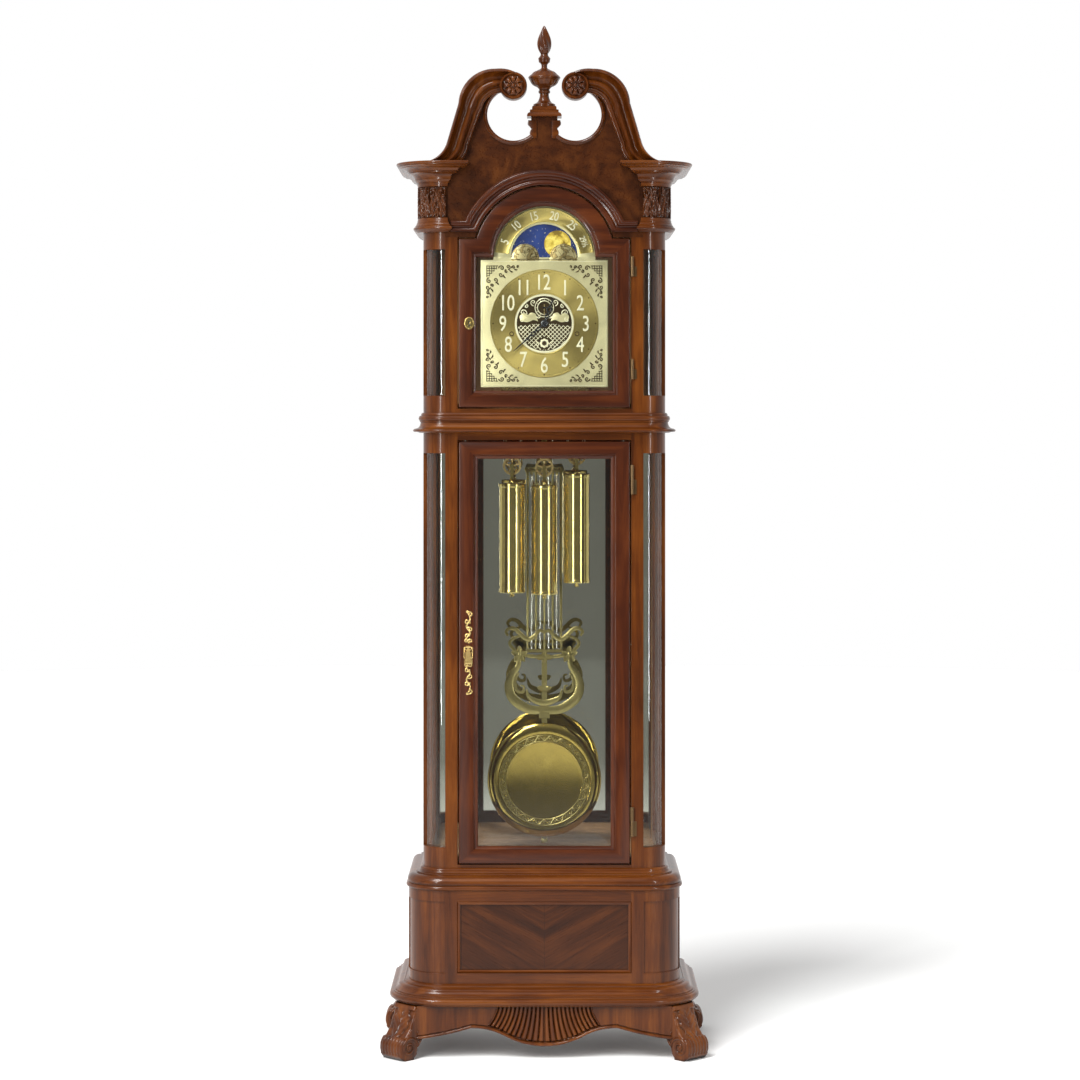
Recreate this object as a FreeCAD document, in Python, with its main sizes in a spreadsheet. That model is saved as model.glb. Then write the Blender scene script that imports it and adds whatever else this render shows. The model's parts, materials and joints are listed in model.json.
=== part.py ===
import FreeCAD, Part
import math
import os
import Sketcher

# Longcase (grandfather) clock with a moon dial, three cable-driven weights and a lyre pendulum.
# Millimetres. +X is the clock's right as seen from the front, +Y runs to the back, +Z is up.
# The origin is under the middle of the clock's bounding box, on the floor.

SIZES = {
    # The case in plan: front corners are quarter circles about one upright axis on each side.
    "corner_half": 218,        # corner axis from the centre line
    "case_depth": 310,         # front face to back face of the trunk
    "case_radius": 50,         # trunk and hood corner radius
    "wall": 20,                # thickness of frames and corner blocks
    "base_radius": 82,         # corner radius of the base box
    "back_thickness": 10,
    "mirror_thickness": 3,
    "wall_screw_radius": 3,    # hole for the screw that holds the clock to the wall
    "wall_screw_drop": 60,     # below the cornice
    "glass": 4,
    "glass_inset": 7,
    # The case in height, from the floor up.
    "foot_height": 115,
    "skirt_height": 44,        # moulding between feet and base box
    "base_height": 203,
    "cap_height": 46,          # moulding between base box and trunk
    "trunk_height": 957,
    "waist_height": 44,        # moulding between trunk and hood
    "hood_height": 398,
    "frieze_height": 108,
    "cornice_height": 45,
    # How far the mouldings reach from the corner axis.
    "skirt_reach": 124,
    "cap_reach": 88,
    "waist_reach": 73,
    "waist_bead_reach": 60,
    "frieze_reach": 63,
    "frieze_bead_reach": 72,
    "cornice_reach": 110,
    # Feet and aprons.
    "foot_reach": 206,
    "foot_width": 74,
    "roll_radius": 28,
    "apron_reach": 110,
    "apron_thickness": 18,
    # Panels.
    "base_stile": 27,
    "base_rail": 23,
    "panel_thickness": 8,
    "panel_inset": 6,
    "block_height": 45,        # trunk corner blocks
    "hood_block_height": 38,
    "side_stile": 36,
    "floor_thickness": 22,
    "seat_thickness": 18,
    # Doors.
    "front_stile": 27,
    "door_gap": 3,
    "door_proud": 8,
    "door_thickness": 20,
    "door_stile": 42,
    "door_rail": 38,
    "hood_stile": 38,
    "hood_rail": 37,
    "sill": 10,                # case rail under each door
    "hood_shoulder": 383,      # height of the hood door's shoulders above the hood's bottom
    "shoulder_width": 33,
    "arch_drop": 40.4,         # arch centre below the shoulders
    "arch_rail": 43,
    "arch_moulding": 34,
    "arch_projection": 20,
    "hinge_offset": 5,
    "hinge_height": 3.5,
    "hinge_radius": 4,
    "hinge_pin": 2,
    "running_fit": 0.05,
    # Pediment.
    "opening_half": 68,        # scroll openings and rosettes from the centre line
    "opening_rise": 105,       # opening centres above the cornice
    "opening_radius": 58,
    "post_half": 29,
    "plinth_rise": 100,
    "plinth_half": 38,
    "plinth_height": 23,
    "neck_projection": 46,
    "rosette_rise": 165,
    "rosette_radius": 28,
    "finial_height": 179,
    # Dial and movement, measured back from the front face of the case.
    "dial_depth": 18,
    "dial_thickness": 2,
    "dial_half": 140,
    "hub_rise": 197,           # hub above the hood's bottom
    "moon_arch": 112.5,
    "aperture_radius": 74,
    "hump_radius": 30,
    "hump_half": 42,
    "ring_outer": 119.5,
    "ring_inner": 65.8,
    "front_plate_depth": 54,
    "back_plate_depth": 120,
    "plate_thickness": 3,
    "plate_half": 95,
    "hub_arbor": 2.5,
    "small_arbor": 2,
    "drum_arbor": 3,
    "seconds_rise": 35,
    "anchor_rise": 66,
    "winding_half": 72,
    "winding_drop": 22.7,
    "middle_drop": 43.5,
    "drum_radius": 17.3,
    "wheel_radius": 26,
    "cable_depth": 90,
    "cable_radius": 1,
    "cable_circle": 18.5,
    # Weights, pulleys and pendulum.
    "weight_radius": 30,
    "weight_length": 245,
    "pulley_rise": 39,         # pulley axle above the weight's top
    "pulley_flange": 20.5,
    "pendulum_depth": 160,
    "bob_radius": 128,
    "bob_thickness": 16,
    "bob_floor_gap": 25,
    "lyre_rise": 24,           # bottom of the lyre above the top of the bob
    "lyre_height": 196,
    "grid_half": 38,
    "grid_rod": 2.5,
}
WEIGHT_DROPS = {"left": 157, "middle": 161, "right": 135}   # weight tops below the hood's bottom
GRID_RODS = 9
CHIME_RODS = 9
ESCAPE_TEETH = 30
MINUTE_ANGLE = 228
HOUR_ANGLE = 19
QUARTER = 90
FULL_TURN = 360
HALF = 0.5

V = FreeCAD.Vector
X_AXIS = V(1, 0, 0)
Y_AXIS = V(0, 1, 0)
Z_AXIS = V(0, 0, 1)

DOC = FreeCAD.newDocument("grandfather_clock")
SHEET = DOC.addObject("Spreadsheet::Sheet", "Sizes")
PARTS = []


class Size:
    """A length that carries its number and the sheet expression that it comes from."""

    def __init__(self, number, text=None):
        self.number = float(number)
        self.text = text or repr(float(number))

    def __add__(self, other):
        other = as_size(other)
        return Size(self.number + other.number, f"({self.text} + {other.text})")

    def __sub__(self, other):
        other = as_size(other)
        return Size(self.number - other.number, f"({self.text} - {other.text})")

    def __mul__(self, factor):
        return Size(self.number * factor, f"({self.text} * {factor})")

    def __neg__(self):
        return Size(-self.number, f"(0 - {self.text})")

    __radd__ = __add__
    __rmul__ = __mul__


def as_size(value):
    return value if isinstance(value, Size) else Size(value)


def leg(hypotenuse, other_leg):
    """The second leg of a right triangle, as a Size."""
    long_side = as_size(hypotenuse)
    short_side = as_size(other_leg)
    number = math.sqrt(long_side.number ** 2 - short_side.number ** 2)
    return Size(number, f"sqrt({long_side.text} ^ 2 - {short_side.text} ^ 2)")


def fill_sheet():
    """Write every driving size into the sheet and give back Sizes by name."""
    sizes = {}
    for row, (name, number) in enumerate(SIZES.items(), start=1):
        SHEET.set(f"A{row}", name)
        SHEET.set(f"B{row}", str(number))
        SHEET.setAlias(f"B{row}", name)
        sizes[name] = Size(number, f"Sizes.{name}")
    DOC.recompute()
    return sizes


class Named:
    """Sizes read as attributes."""

    def __init__(self, values):
        self.__dict__.update(values)


S = Named(fill_sheet())

# Upright levels.
SKIRT_Z = S.foot_height
BASE_Z = SKIRT_Z + S.skirt_height
CAP_Z = BASE_Z + S.base_height
TRUNK_Z = CAP_Z + S.cap_height
WAIST_Z = TRUNK_Z + S.trunk_height
HOOD_Z = WAIST_Z + S.waist_height
FRIEZE_Z = HOOD_Z + S.hood_height
CORNICE_Z = FRIEZE_Z + S.frieze_height
ROOF_Z = CORNICE_Z + S.cornice_height
FLOOR_Z = TRUNK_Z + S.floor_thickness
SEAT_Z = HOOD_Z + 2
SEAT_TOP = SEAT_Z + S.seat_thickness
SHOULDER_Z = HOOD_Z + S.hood_shoulder
ARCH_Z = SHOULDER_Z - S.arch_drop
HUB_Z = HOOD_Z + S.hub_rise
SECONDS_Z = HUB_Z + S.seconds_rise
ANCHOR_Z = HUB_Z + S.anchor_rise
PLINTH_Z = ROOF_Z + S.plinth_rise

# Plan: the bounding box is centred on Y = 0. The front feet stand out at 45 degrees.
DIAGONAL = math.sqrt(HALF)
FOOT_PROJECTION = S.foot_reach * DIAGONAL - S.case_radius
BACK_Y = (S.case_depth + FOOT_PROJECTION) * HALF
FRONT_Y = BACK_Y - S.case_depth
CORNER_Y = FRONT_Y + S.case_radius
INNER_RADIUS = S.case_radius - S.wall
INNER_HALF = S.corner_half + INNER_RADIUS
FRAME_BACK_Y = FRONT_Y + S.wall
BACK_INNER_Y = BACK_Y - S.back_thickness
BOARD_MIDDLE_Y = FRONT_Y + S.wall * HALF
DIAL_Y = FRONT_Y + S.dial_depth
DIAL_BACK_Y = DIAL_Y + S.dial_thickness
FRONT_PLATE_Y = FRONT_Y + S.front_plate_depth
BACK_PLATE_Y = FRONT_Y + S.back_plate_depth
CABLE_Y = FRONT_Y + S.cable_depth
PENDULUM_Y = FRONT_Y + S.pendulum_depth

# Doors.
DOOR_HALF = S.corner_half - S.front_stile - S.door_gap
DOOR_OPENING_HALF = S.corner_half - S.front_stile
DOOR_Y = FRONT_Y - S.door_proud
TRUNK_DOOR_Z = TRUNK_Z + S.sill
TRUNK_DOOR_TOP = WAIST_Z - S.sill - 9
HOOD_DOOR_Z = HOOD_Z + S.sill + 2
ARCH_RADIUS = DOOR_HALF - S.shoulder_width
NOTCH_RADIUS = ARCH_RADIUS + S.door_gap
ARCH_OPENING = ARCH_RADIUS - S.arch_rail
HINGE_X = DOOR_HALF + S.hinge_offset
HINGE_Y = DOOR_Y + S.hinge_height
NECK_Y = FRONT_Y - S.neck_projection
SEAT_BACK_Y = FRONT_Y + S.case_depth - 80


def bind(thing, name, value):
    """Drive one property, such as Length or Placement.Base.x, from the sheet."""
    size = as_size(value)
    thing.setExpression(name, size.text)


def put(thing, x=0, y=0, z=0, axis=None, angle=0):
    """Place an object, turned about an axis through its own origin."""
    if axis is not None:
        thing.Placement = FreeCAD.Placement(V(), FreeCAD.Rotation(axis, angle))
    for name, value in (("x", x), ("y", y), ("z", z)):
        bind(thing, "Placement.Base." + name, value)
    return thing


def arc_between(start, end, radius):
    """The short arc from start to end. A positive radius turns left, a negative one right."""
    chord = end - start
    half = chord.Length / 2
    rise = math.sqrt(max(radius ** 2 - half ** 2, 0))
    left = V(-chord.y, chord.x, 0).normalize()
    middle = (start + end) / 2
    centre = middle + left * math.copysign(rise, radius)
    circle = Part.Circle(centre, Z_AXIS, abs(radius))
    first, last = (start, end) if radius > 0 else (end, start)
    return Part.ArcOfCircle(circle, circle.parameter(first), circle.parameter(last))


def origin_feature(body, role):
    """One of the planes or axes that a body is built about."""
    return [feature for feature in body.Origin.OriginFeatures if feature.Role == role][0]


def draw_edge(sketch, start, end, bend):
    """A line, or an arc where bend holds a radius. Gives back which of its ends is which."""
    first = V(start[0].number, start[1].number, 0)
    last = V(end[0].number, end[1].number, 0)
    if not bend:
        sketch.addGeometry(Part.LineSegment(first, last))
        return 1, 2
    radius = as_size(bend[0])
    edge = sketch.addGeometry(arc_between(first, last, radius.number))
    hold_radius(sketch, edge, radius if radius.number > 0 else -radius)
    return (1, 2) if radius.number > 0 else (2, 1)


def hold_radius(sketch, edge, radius):
    held = sketch.addConstraint(Sketcher.Constraint("Radius", edge, radius.number))
    sketch.setExpression(f"Constraints[{held}]", radius.text)


def trace(sketch, points, closed=True):
    """Draw corners (u, v), or (u, v, radius) where an arc arrives, as a loop or an open path."""
    corners = [(as_size(point[0]), as_size(point[1])) for point in points]
    first = sketch.GeometryCount
    reached = range(0 if closed else 1, len(points))
    ends = [draw_edge(sketch, corners[index - 1], corners[index], points[index][2:])
            for index in reached]
    for edge in range(len(ends) if closed else len(ends) - 1):
        after = (edge + 1) % len(ends)
        joint = (first + edge, ends[edge][1], first + after, ends[after][0])
        sketch.addConstraint(Sketcher.Constraint("Coincident", *joint))
    if not closed:
        hold_point(sketch, first, ends[0][0], *corners[0])
    for edge, index in enumerate(reached):
        hold_point(sketch, first + edge, ends[edge][1], *corners[index])


def hold_point(sketch, edge, end, u, v):
    """Fix a sketch point at (u, v) from the sketch's origin."""
    for kind, size in (("DistanceX", u), ("DistanceY", v)):
        held = sketch.addConstraint(Sketcher.Constraint(kind, edge, end, size.number))
        sketch.setExpression(f"Constraints[{held}]", size.text)


CENTRE_POINT = 3


def trace_circle(sketch, u, v, radius):
    """Draw one circle held by its centre and radius."""
    u, v, radius = as_size(u), as_size(v), as_size(radius)
    centre = V(u.number, v.number, 0)
    edge = sketch.addGeometry(Part.Circle(centre, Z_AXIS, radius.number))
    hold_radius(sketch, edge, radius)
    hold_point(sketch, edge, CENTRE_POINT, u, v)


class Round:
    """A circle in an outline."""

    def __init__(self, u, v, radius):
        self.circle = (u, v, radius)


def rectangle(left, bottom, right, top):
    return [(left, bottom), (right, bottom), (right, top), (left, top)]


PLANES = {"x": ("YZ_Plane", 1), "y": ("XZ_Plane", -1), "z": ("XY_Plane", 1)}


def new_body(name):
    body = DOC.addObject("PartDesign::Body", name)
    body.Label = name
    return body


def draw(body, axis, loops, start=0):
    """A sketch across the given axis, at the given distance along it."""
    role, sign = PLANES[axis]
    sketch = body.newObject("Sketcher::SketchObject", body.Name + "_sketch")
    sketch.AttachmentSupport = (origin_feature(body, role), [""])
    sketch.MapMode = "FlatFace"
    bind(sketch, "AttachmentOffset.Base.z", as_size(start) * sign)
    for loop in loops:
        if isinstance(loop, Round):
            trace_circle(sketch, *loop.circle)
        else:
            trace(sketch, loop)
    return sketch


def pad(body, axis, loops, start, thickness):
    """Add material from start along +axis."""
    feature = body.newObject("PartDesign::Pad", body.Name + "_pad")
    feature.Profile = draw(body, axis, loops, start)
    bind(feature, "Length", thickness)
    feature.Reversed = PLANES[axis][1] < 0
    return feature


def pocket(body, axis, loops, start, depth):
    """Cut material away from start along +axis."""
    feature = body.newObject("PartDesign::Pocket", body.Name + "_pocket")
    feature.Profile = draw(body, axis, loops, start)
    bind(feature, "Length", depth)
    feature.Reversed = PLANES[axis][1] > 0
    return feature


def slab(name, axis, loops, start, thickness):
    """A body cut from one board: its outline and how far it runs along the axis."""
    body = new_body(name)
    pad(body, axis, loops, start, thickness)
    return body


def turned(name, profile, angle=FULL_TURN):
    """A body turned about its own Z axis. A part turn runs clockwise from +X towards -Y."""
    body = new_body(name)
    sketch = draw(body, "y", [profile])
    feature = body.newObject("PartDesign::Revolution", name + "_turn")
    feature.Profile = sketch
    feature.ReferenceAxis = (sketch, ["V_Axis"])
    feature.Angle = angle
    feature.Reversed = angle < FULL_TURN
    return body


def moulding(name, profile):
    """A moulding that runs round both sides and the front: profile in reach and height."""
    body = new_body(name)
    outline = [(S.corner_half + corner[0],) + tuple(corner[1:]) for corner in profile]
    section = draw(body, "y", [outline], BACK_Y)
    path = body.newObject("Sketcher::SketchObject", name + "_path")
    path.AttachmentSupport = (origin_feature(body, "XY_Plane"), [""])
    path.MapMode = "FlatFace"
    run = S.case_radius
    side = S.corner_half + run
    front = CORNER_Y - run
    steps = [(side, BACK_Y), (side, CORNER_Y), (S.corner_half, front, -run),
             (-S.corner_half, front), (-side, CORNER_Y, -run), (-side, BACK_Y)]
    trace(path, steps, closed=False)
    feature = body.newObject("PartDesign::AdditivePipe", name + "_pipe")
    feature.Profile = section
    feature.Spine = path
    return body


def box(name, x, y, z, length, width, height):
    """A block by its low corner and its three sizes."""
    block = DOC.addObject("Part::Box", name)
    bind(block, "Length", length)
    bind(block, "Width", width)
    bind(block, "Height", height)
    return put(block, x, y, z)


def rod(name, x, y, z, radius, length, axis=None, angle=0):
    """A cylinder from its base point. Turned -90 degrees about X it runs along +Y."""
    cylinder = DOC.addObject("Part::Cylinder", name)
    bind(cylinder, "Radius", radius)
    bind(cylinder, "Height", length)
    return put(cylinder, x, y, z, axis, angle)


def rod_back(name, x, y, z, radius, length):
    """A cylinder that runs along +Y from its base point."""
    return rod(name, x, y, z, radius, length, X_AXIS, -QUARTER)


def mirrored(thing):
    """The same piece on the other side of the clock."""
    copy = DOC.addObject("Part::Mirroring", thing.Name + "_other")
    copy.Source = thing
    copy.Normal = X_AXIS
    copy.Base = V()
    return copy


def both(thing):
    return [thing, mirrored(thing)]


def fuse(name, members):
    whole = DOC.addObject("Part::MultiFuse", name)
    whole.Shapes = members
    return whole


def cut(name, base, tool):
    rest = DOC.addObject("Part::Cut", name)
    rest.Base = base
    rest.Tool = tool
    return rest


def group(name, members):
    """Separate solids kept in one node."""
    whole = DOC.addObject("Part::Compound", name)
    whole.Links = members
    return whole


def add(name, thing):
    """Hand a finished sub-part over for export under its name."""
    thing.Label = name
    PARTS.append((name, thing))
    return thing


# ---- feet and base ---------------------------------------------------------------------------

def foot(name, height):
    """A scroll foot: knee under the moulding, sweeping out to a roll on the floor."""
    roll = S.roll_radius
    centre = S.foot_reach - roll - S.foot_width * HALF
    knee_z = height - 45
    outline = [
        (60, height), (S.skirt_reach - 2, height), (centre - 1, knee_z, -60),
        (centre + 12, roll + leg(roll, 12)), (centre + roll, roll, -roll),
        (centre + 14, 0, -roll), (centre - 14, 0), (centre - roll, roll, -roll),
        (centre - roll - 17, roll + 16), (64, height - 27, 60),
    ]
    return slab(name, "y", [outline], -(S.foot_width * HALF), S.foot_width)


def scroll_feet():
    front = put(foot("front_foot", S.foot_height), S.corner_half, CORNER_Y, 0, Z_AXIS, -45)
    rear = foot("rear_foot", S.foot_height)
    reach = S.foot_reach - S.foot_width * HALF
    put(rear, S.corner_half + S.foot_reach * DIAGONAL - reach, BACK_Y - S.foot_width * HALF, 0)
    return add("scroll_feet", group("feet", both(front) + both(rear)))


def aprons(feet):
    """Shaped skirts between the feet. The feet cut them to length."""
    end = S.corner_half + 61
    top = S.foot_height
    front = slab("front_apron_blank", "y", [[
        (-end, top), (-end, top - 73), (-(S.corner_half - 58), top - 48, 700),
        (-(S.corner_half - 133), top - 66, -150), (S.corner_half - 133, top - 66, 179),
        (S.corner_half - 58, top - 48, -150), (end, top - 73, 700), (end, top)]],
        CORNER_Y - S.apron_reach, S.apron_thickness)
    near = CORNER_Y - 61
    middle = (CORNER_Y + BACK_Y) * HALF
    side = slab("side_apron_blank", "x", [[
        (near, top), (near, top - 73), (middle, top - 55, 300), (BACK_Y - 8, top - 73, 300),
        (BACK_Y - 8, top)]],
        S.corner_half + S.apron_reach - S.apron_thickness, S.apron_thickness)
    cuts = [cut("front_apron", front, feet)]
    for index, blank in enumerate(both(side)):
        cuts.append(cut(f"side_apron_{index}", blank, feet))
    add("aprons", group("apron_boards", cuts))


def base():
    """Base box: skirt moulding, front frame with its panel, curved corners, sides and cap."""
    top = BASE_Z
    low = SKIRT_Z
    reach = S.skirt_reach
    add("base_moulding", moulding("base_moulding", [
        (S.base_radius - S.wall, low), (reach - 9, low), (reach, low + 9, 9),
        (reach - 9, low + 20, 10), (reach - 14, low + 20), (reach - 14, low + 26),
        (reach - 28, low + 37, -14), (reach - 34, low + 37), (reach - 34, top),
        (S.base_radius - S.wall, top)]))
    edge = S.corner_half - S.base_stile
    rails = (BASE_Z + S.base_rail, CAP_Z - S.base_rail)
    face = CORNER_Y - S.base_radius
    field = rectangle(-edge, rails[0], edge, rails[1])
    add("base_front_frame", slab("base_front_frame", "y", [
        rectangle(-S.corner_half, BASE_Z, S.corner_half, CAP_Z), field], face, S.wall))
    add("base_front_panel", slab("base_front_panel", "y", [field],
                                 face + S.panel_inset, S.panel_thickness))
    inner = S.base_radius - S.wall
    sunk = S.base_radius - 3
    corner = turned("base_corner", [
        (inner, BASE_Z), (S.base_radius, BASE_Z), (S.base_radius, rails[0]), (sunk, rails[0]),
        (sunk, rails[1]), (S.base_radius, rails[1]), (S.base_radius, CAP_Z), (inner, CAP_Z)],
        QUARTER)
    put(corner, S.corner_half, CORNER_Y, 0)
    side = slab("base_side", "x", [rectangle(CORNER_Y, BASE_Z, BACK_Y, CAP_Z)],
                S.corner_half + inner, S.wall)
    pocket(side, "x", [rectangle(CORNER_Y + S.side_stile, rails[0], BACK_Y - S.side_stile, rails[1])],
           S.corner_half + sunk, 3)
    add("base_side_panels", group("base_sides", both(corner) + both(side)))
    reach = S.cap_reach
    add("base_cap_moulding", moulding("base_cap_moulding", [
        (INNER_RADIUS, CAP_Z), (S.base_radius, CAP_Z), (reach, CAP_Z + 6, 6), (reach - 3, CAP_Z + 14),
        (reach - 3, CAP_Z + 16), (reach - 25, CAP_Z + 32, 20), (reach - 25, CAP_Z + 36),
        (S.case_radius + 3, CAP_Z + 40), (S.case_radius + 3, TRUNK_Z), (INNER_RADIUS, TRUNK_Z)]))


# ---- trunk and hood case ---------------------------------------------------------------------

def quarter_ring(name, inner, outer, low, high):
    """A quarter of a tube about the right front corner axis."""
    ring = turned(name, rectangle(inner, low, outer, high), QUARTER)
    return put(ring, S.corner_half, CORNER_Y, 0)


def corner_pieces():
    """Blocks at the ends of each rounded corner and the curved glass between them."""
    levels = [
        ("trunk", TRUNK_Z, WAIST_Z, S.block_height), ("hood", HOOD_Z, FRIEZE_Z, S.hood_block_height)]
    outer = S.case_radius - S.glass_inset
    blocks = []
    panes = []
    for name, low, high, height in levels:
        blocks += both(quarter_ring(name + "_low_block", INNER_RADIUS, S.case_radius, low, low + height))
        blocks += both(quarter_ring(name + "_high_block", INNER_RADIUS, S.case_radius, high - height, high))
        panes += both(quarter_ring(name + "_corner_pane", outer - S.glass, outer,
                                   low + height, high - height))
    add("corner_blocks", group("blocks", blocks))
    return panes


def side_walls(corner_panes):
    """Glazed frames on both sides of the trunk and the hood."""
    frames = []
    panes = list(corner_panes)
    for name, low, high, rail in (("trunk", TRUNK_Z, WAIST_Z, S.block_height),
                                  ("hood", HOOD_Z, FRIEZE_Z, S.hood_block_height)):
        opening = rectangle(CORNER_Y + S.side_stile, low + rail, BACK_Y - S.side_stile, high - rail)
        frames += both(slab(name + "_side", "x", [rectangle(CORNER_Y, low, BACK_Y, high), opening],
                            INNER_HALF, S.wall))
        panes += both(slab(name + "_side_pane", "x", [opening],
                           INNER_HALF + S.wall - S.glass_inset - S.glass, S.glass))
    add("side_frames", group("sides", frames))
    add("case_glass", group("panes", panes))


def front_frames():
    """The fixed frames that the two doors close into."""
    opening = rectangle(-DOOR_OPENING_HALF, TRUNK_DOOR_Z - S.door_gap,
                        DOOR_OPENING_HALF, TRUNK_DOOR_TOP + S.door_gap)
    add("trunk_front_frame", slab("trunk_front_frame", "y", [
        rectangle(-S.corner_half, TRUNK_Z, S.corner_half, WAIST_Z), opening], FRONT_Y, S.wall))
    top = SHOULDER_Z + S.door_gap
    sill = HOOD_DOOR_Z - S.door_gap
    add("hood_front_frame", slab("hood_front_frame", "y", [[
        (-S.corner_half, HOOD_Z), (S.corner_half, HOOD_Z), (S.corner_half, top),
        (DOOR_OPENING_HALF, top), (DOOR_OPENING_HALF, sill), (-DOOR_OPENING_HALF, sill),
        (-DOOR_OPENING_HALF, top), (-S.corner_half, top)]], FRONT_Y, S.wall))


def inside_plan(back):
    """The room inside the trunk walls, seen from above."""
    return [(-INNER_HALF, back), (-INNER_HALF, CORNER_Y),
            (-S.corner_half, CORNER_Y - INNER_RADIUS, INNER_RADIUS),
            (S.corner_half, CORNER_Y - INNER_RADIUS),
            (INNER_HALF, CORNER_Y, INNER_RADIUS), (INNER_HALF, back)]


def back_and_boards():
    """Back panel with its mirror, trunk floor, movement seat and dust board."""
    base_half = S.corner_half + S.base_radius - S.wall
    add("back_panel", slab("back_panel", "y", [[
        (-base_half, BASE_Z), (base_half, BASE_Z), (base_half, CAP_Z), (INNER_HALF, CAP_Z),
        (INNER_HALF, CORNICE_Z), (-INNER_HALF, CORNICE_Z), (-INNER_HALF, CAP_Z),
        (-base_half, CAP_Z)], Round(0, CORNICE_Z - S.wall_screw_drop, S.wall_screw_radius)],
        BACK_INNER_Y, S.back_thickness))
    mirror_half = INNER_HALF - 4
    add("mirror_back", slab("mirror_back", "y", [
        rectangle(-mirror_half, FLOOR_Z, mirror_half, SEAT_Z - 10)],
        BACK_INNER_Y - S.mirror_thickness, S.mirror_thickness))
    floor = slab("trunk_floor", "z", [inside_plan(BACK_INNER_Y)], TRUNK_Z, S.floor_thickness)
    roof = slab("dust_board", "z", [inside_plan(BACK_INNER_Y)],
                CORNICE_Z - S.seat_thickness, S.seat_thickness)
    slot_half = S.winding_half + S.cable_circle + 20
    cable_slot = rectangle(-slot_half, CABLE_Y - 26, slot_half, CABLE_Y + 22)
    rod_slot = rectangle(-60, PENDULUM_Y - 20, 60, PENDULUM_Y + 20)
    seat_front = FRONT_PLATE_Y - 10
    seat = slab("seat_board", "z", [
        [(-INNER_HALF, CORNER_Y), (-S.corner_half, CORNER_Y), (-S.corner_half, seat_front),
         (S.corner_half, seat_front), (S.corner_half, CORNER_Y), (INNER_HALF, CORNER_Y),
         (INNER_HALF, SEAT_BACK_Y), (-INNER_HALF, SEAT_BACK_Y)],
        cable_slot, rod_slot], SEAT_Z, S.seat_thickness)
    add("inner_boards", group("boards", [floor, seat, roof]))


def waist():
    reach = S.waist_reach
    bead = S.waist_bead_reach
    add("waist_moulding", moulding("waist_moulding", [
        (INNER_RADIUS, WAIST_Z), (reach, WAIST_Z), (reach, WAIST_Z + 7), (bead - 4, WAIST_Z + 20, -16),
        (bead - 4, WAIST_Z + 27), (bead, WAIST_Z + 31), (bead, WAIST_Z + 37),
        (S.case_radius + 3, HOOD_Z, 9), (INNER_RADIUS, HOOD_Z)]))


# ---- frieze, cornice and pediment ------------------------------------------------------------

ROUND_INSIDE = [(INNER_HALF, CORNER_Y), (S.corner_half, CORNER_Y - INNER_RADIUS, -INNER_RADIUS)]
SQUARE_INSIDE = [(INNER_HALF, CORNER_Y - INNER_RADIUS), (S.corner_half, CORNER_Y - INNER_RADIUS)]


def corner_plan(reach, end, inside):
    """One side of the entablature from above, with its inner end at x = end. Inside is the
    hollow's corner: round like the case, or square for the open well behind the pediment."""
    return [(end, FRONT_Y), (end, CORNER_Y - reach), (S.corner_half, CORNER_Y - reach),
            (S.corner_half + reach, CORNER_Y, reach), (S.corner_half + reach, BACK_Y),
            (INNER_HALF, BACK_Y), *inside, (S.corner_half, FRONT_Y)]


FRIEZE_END = S.corner_half - 6
BEAD_END = FRIEZE_END - 7
FRIEZE_BEAD = 28


def frieze_and_cornice():
    bead = slab("frieze_bead", "z", [corner_plan(S.frieze_bead_reach, BEAD_END, ROUND_INSIDE)],
                FRIEZE_Z, FRIEZE_BEAD)
    block = slab("frieze_block", "z", [corner_plan(S.frieze_reach, FRIEZE_END, ROUND_INSIDE)],
                 FRIEZE_Z + FRIEZE_BEAD, S.frieze_height - FRIEZE_BEAD)
    add("frieze_blocks", group("friezes", both(bead) + both(block)))
    crown = new_body("crown")
    low = CORNICE_Z
    for share, height in ((0.3, 0.25), (0.65, 0.4), (1, 0.35)):
        step = S.frieze_reach + (S.cornice_reach - S.frieze_reach) * share
        end = FRIEZE_END - (S.cornice_reach - S.frieze_reach) * share
        pad(crown, "z", [corner_plan(step, end, SQUARE_INSIDE)], low, S.cornice_height * height)
        low = low + S.cornice_height * height
    add("cornice", group("cornices", both(crown)))


def arch_moulding():
    outer = NOTCH_RADIUS + S.arch_moulding
    low = FRIEZE_Z
    high = FRIEZE_Z + 24
    inner_x = leg(NOTCH_RADIUS, low - ARCH_Z)
    outer_x = leg(outer, high - ARCH_Z)
    add("arch_moulding", slab("arch_moulding", "y", [[
        (-BEAD_END, low), (-inner_x, low), (inner_x, low, -NOTCH_RADIUS), (BEAD_END, low),
        (BEAD_END, high), (outer_x, high), (-outer_x, high, outer), (-BEAD_END, high)]],
        FRONT_Y - S.arch_projection, S.arch_projection))


OUTER_SWEEP = 0.5333   # radii of the necks' upper curves, as shares of the rosette to corner span
INNER_SWEEP = 0.3


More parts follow.
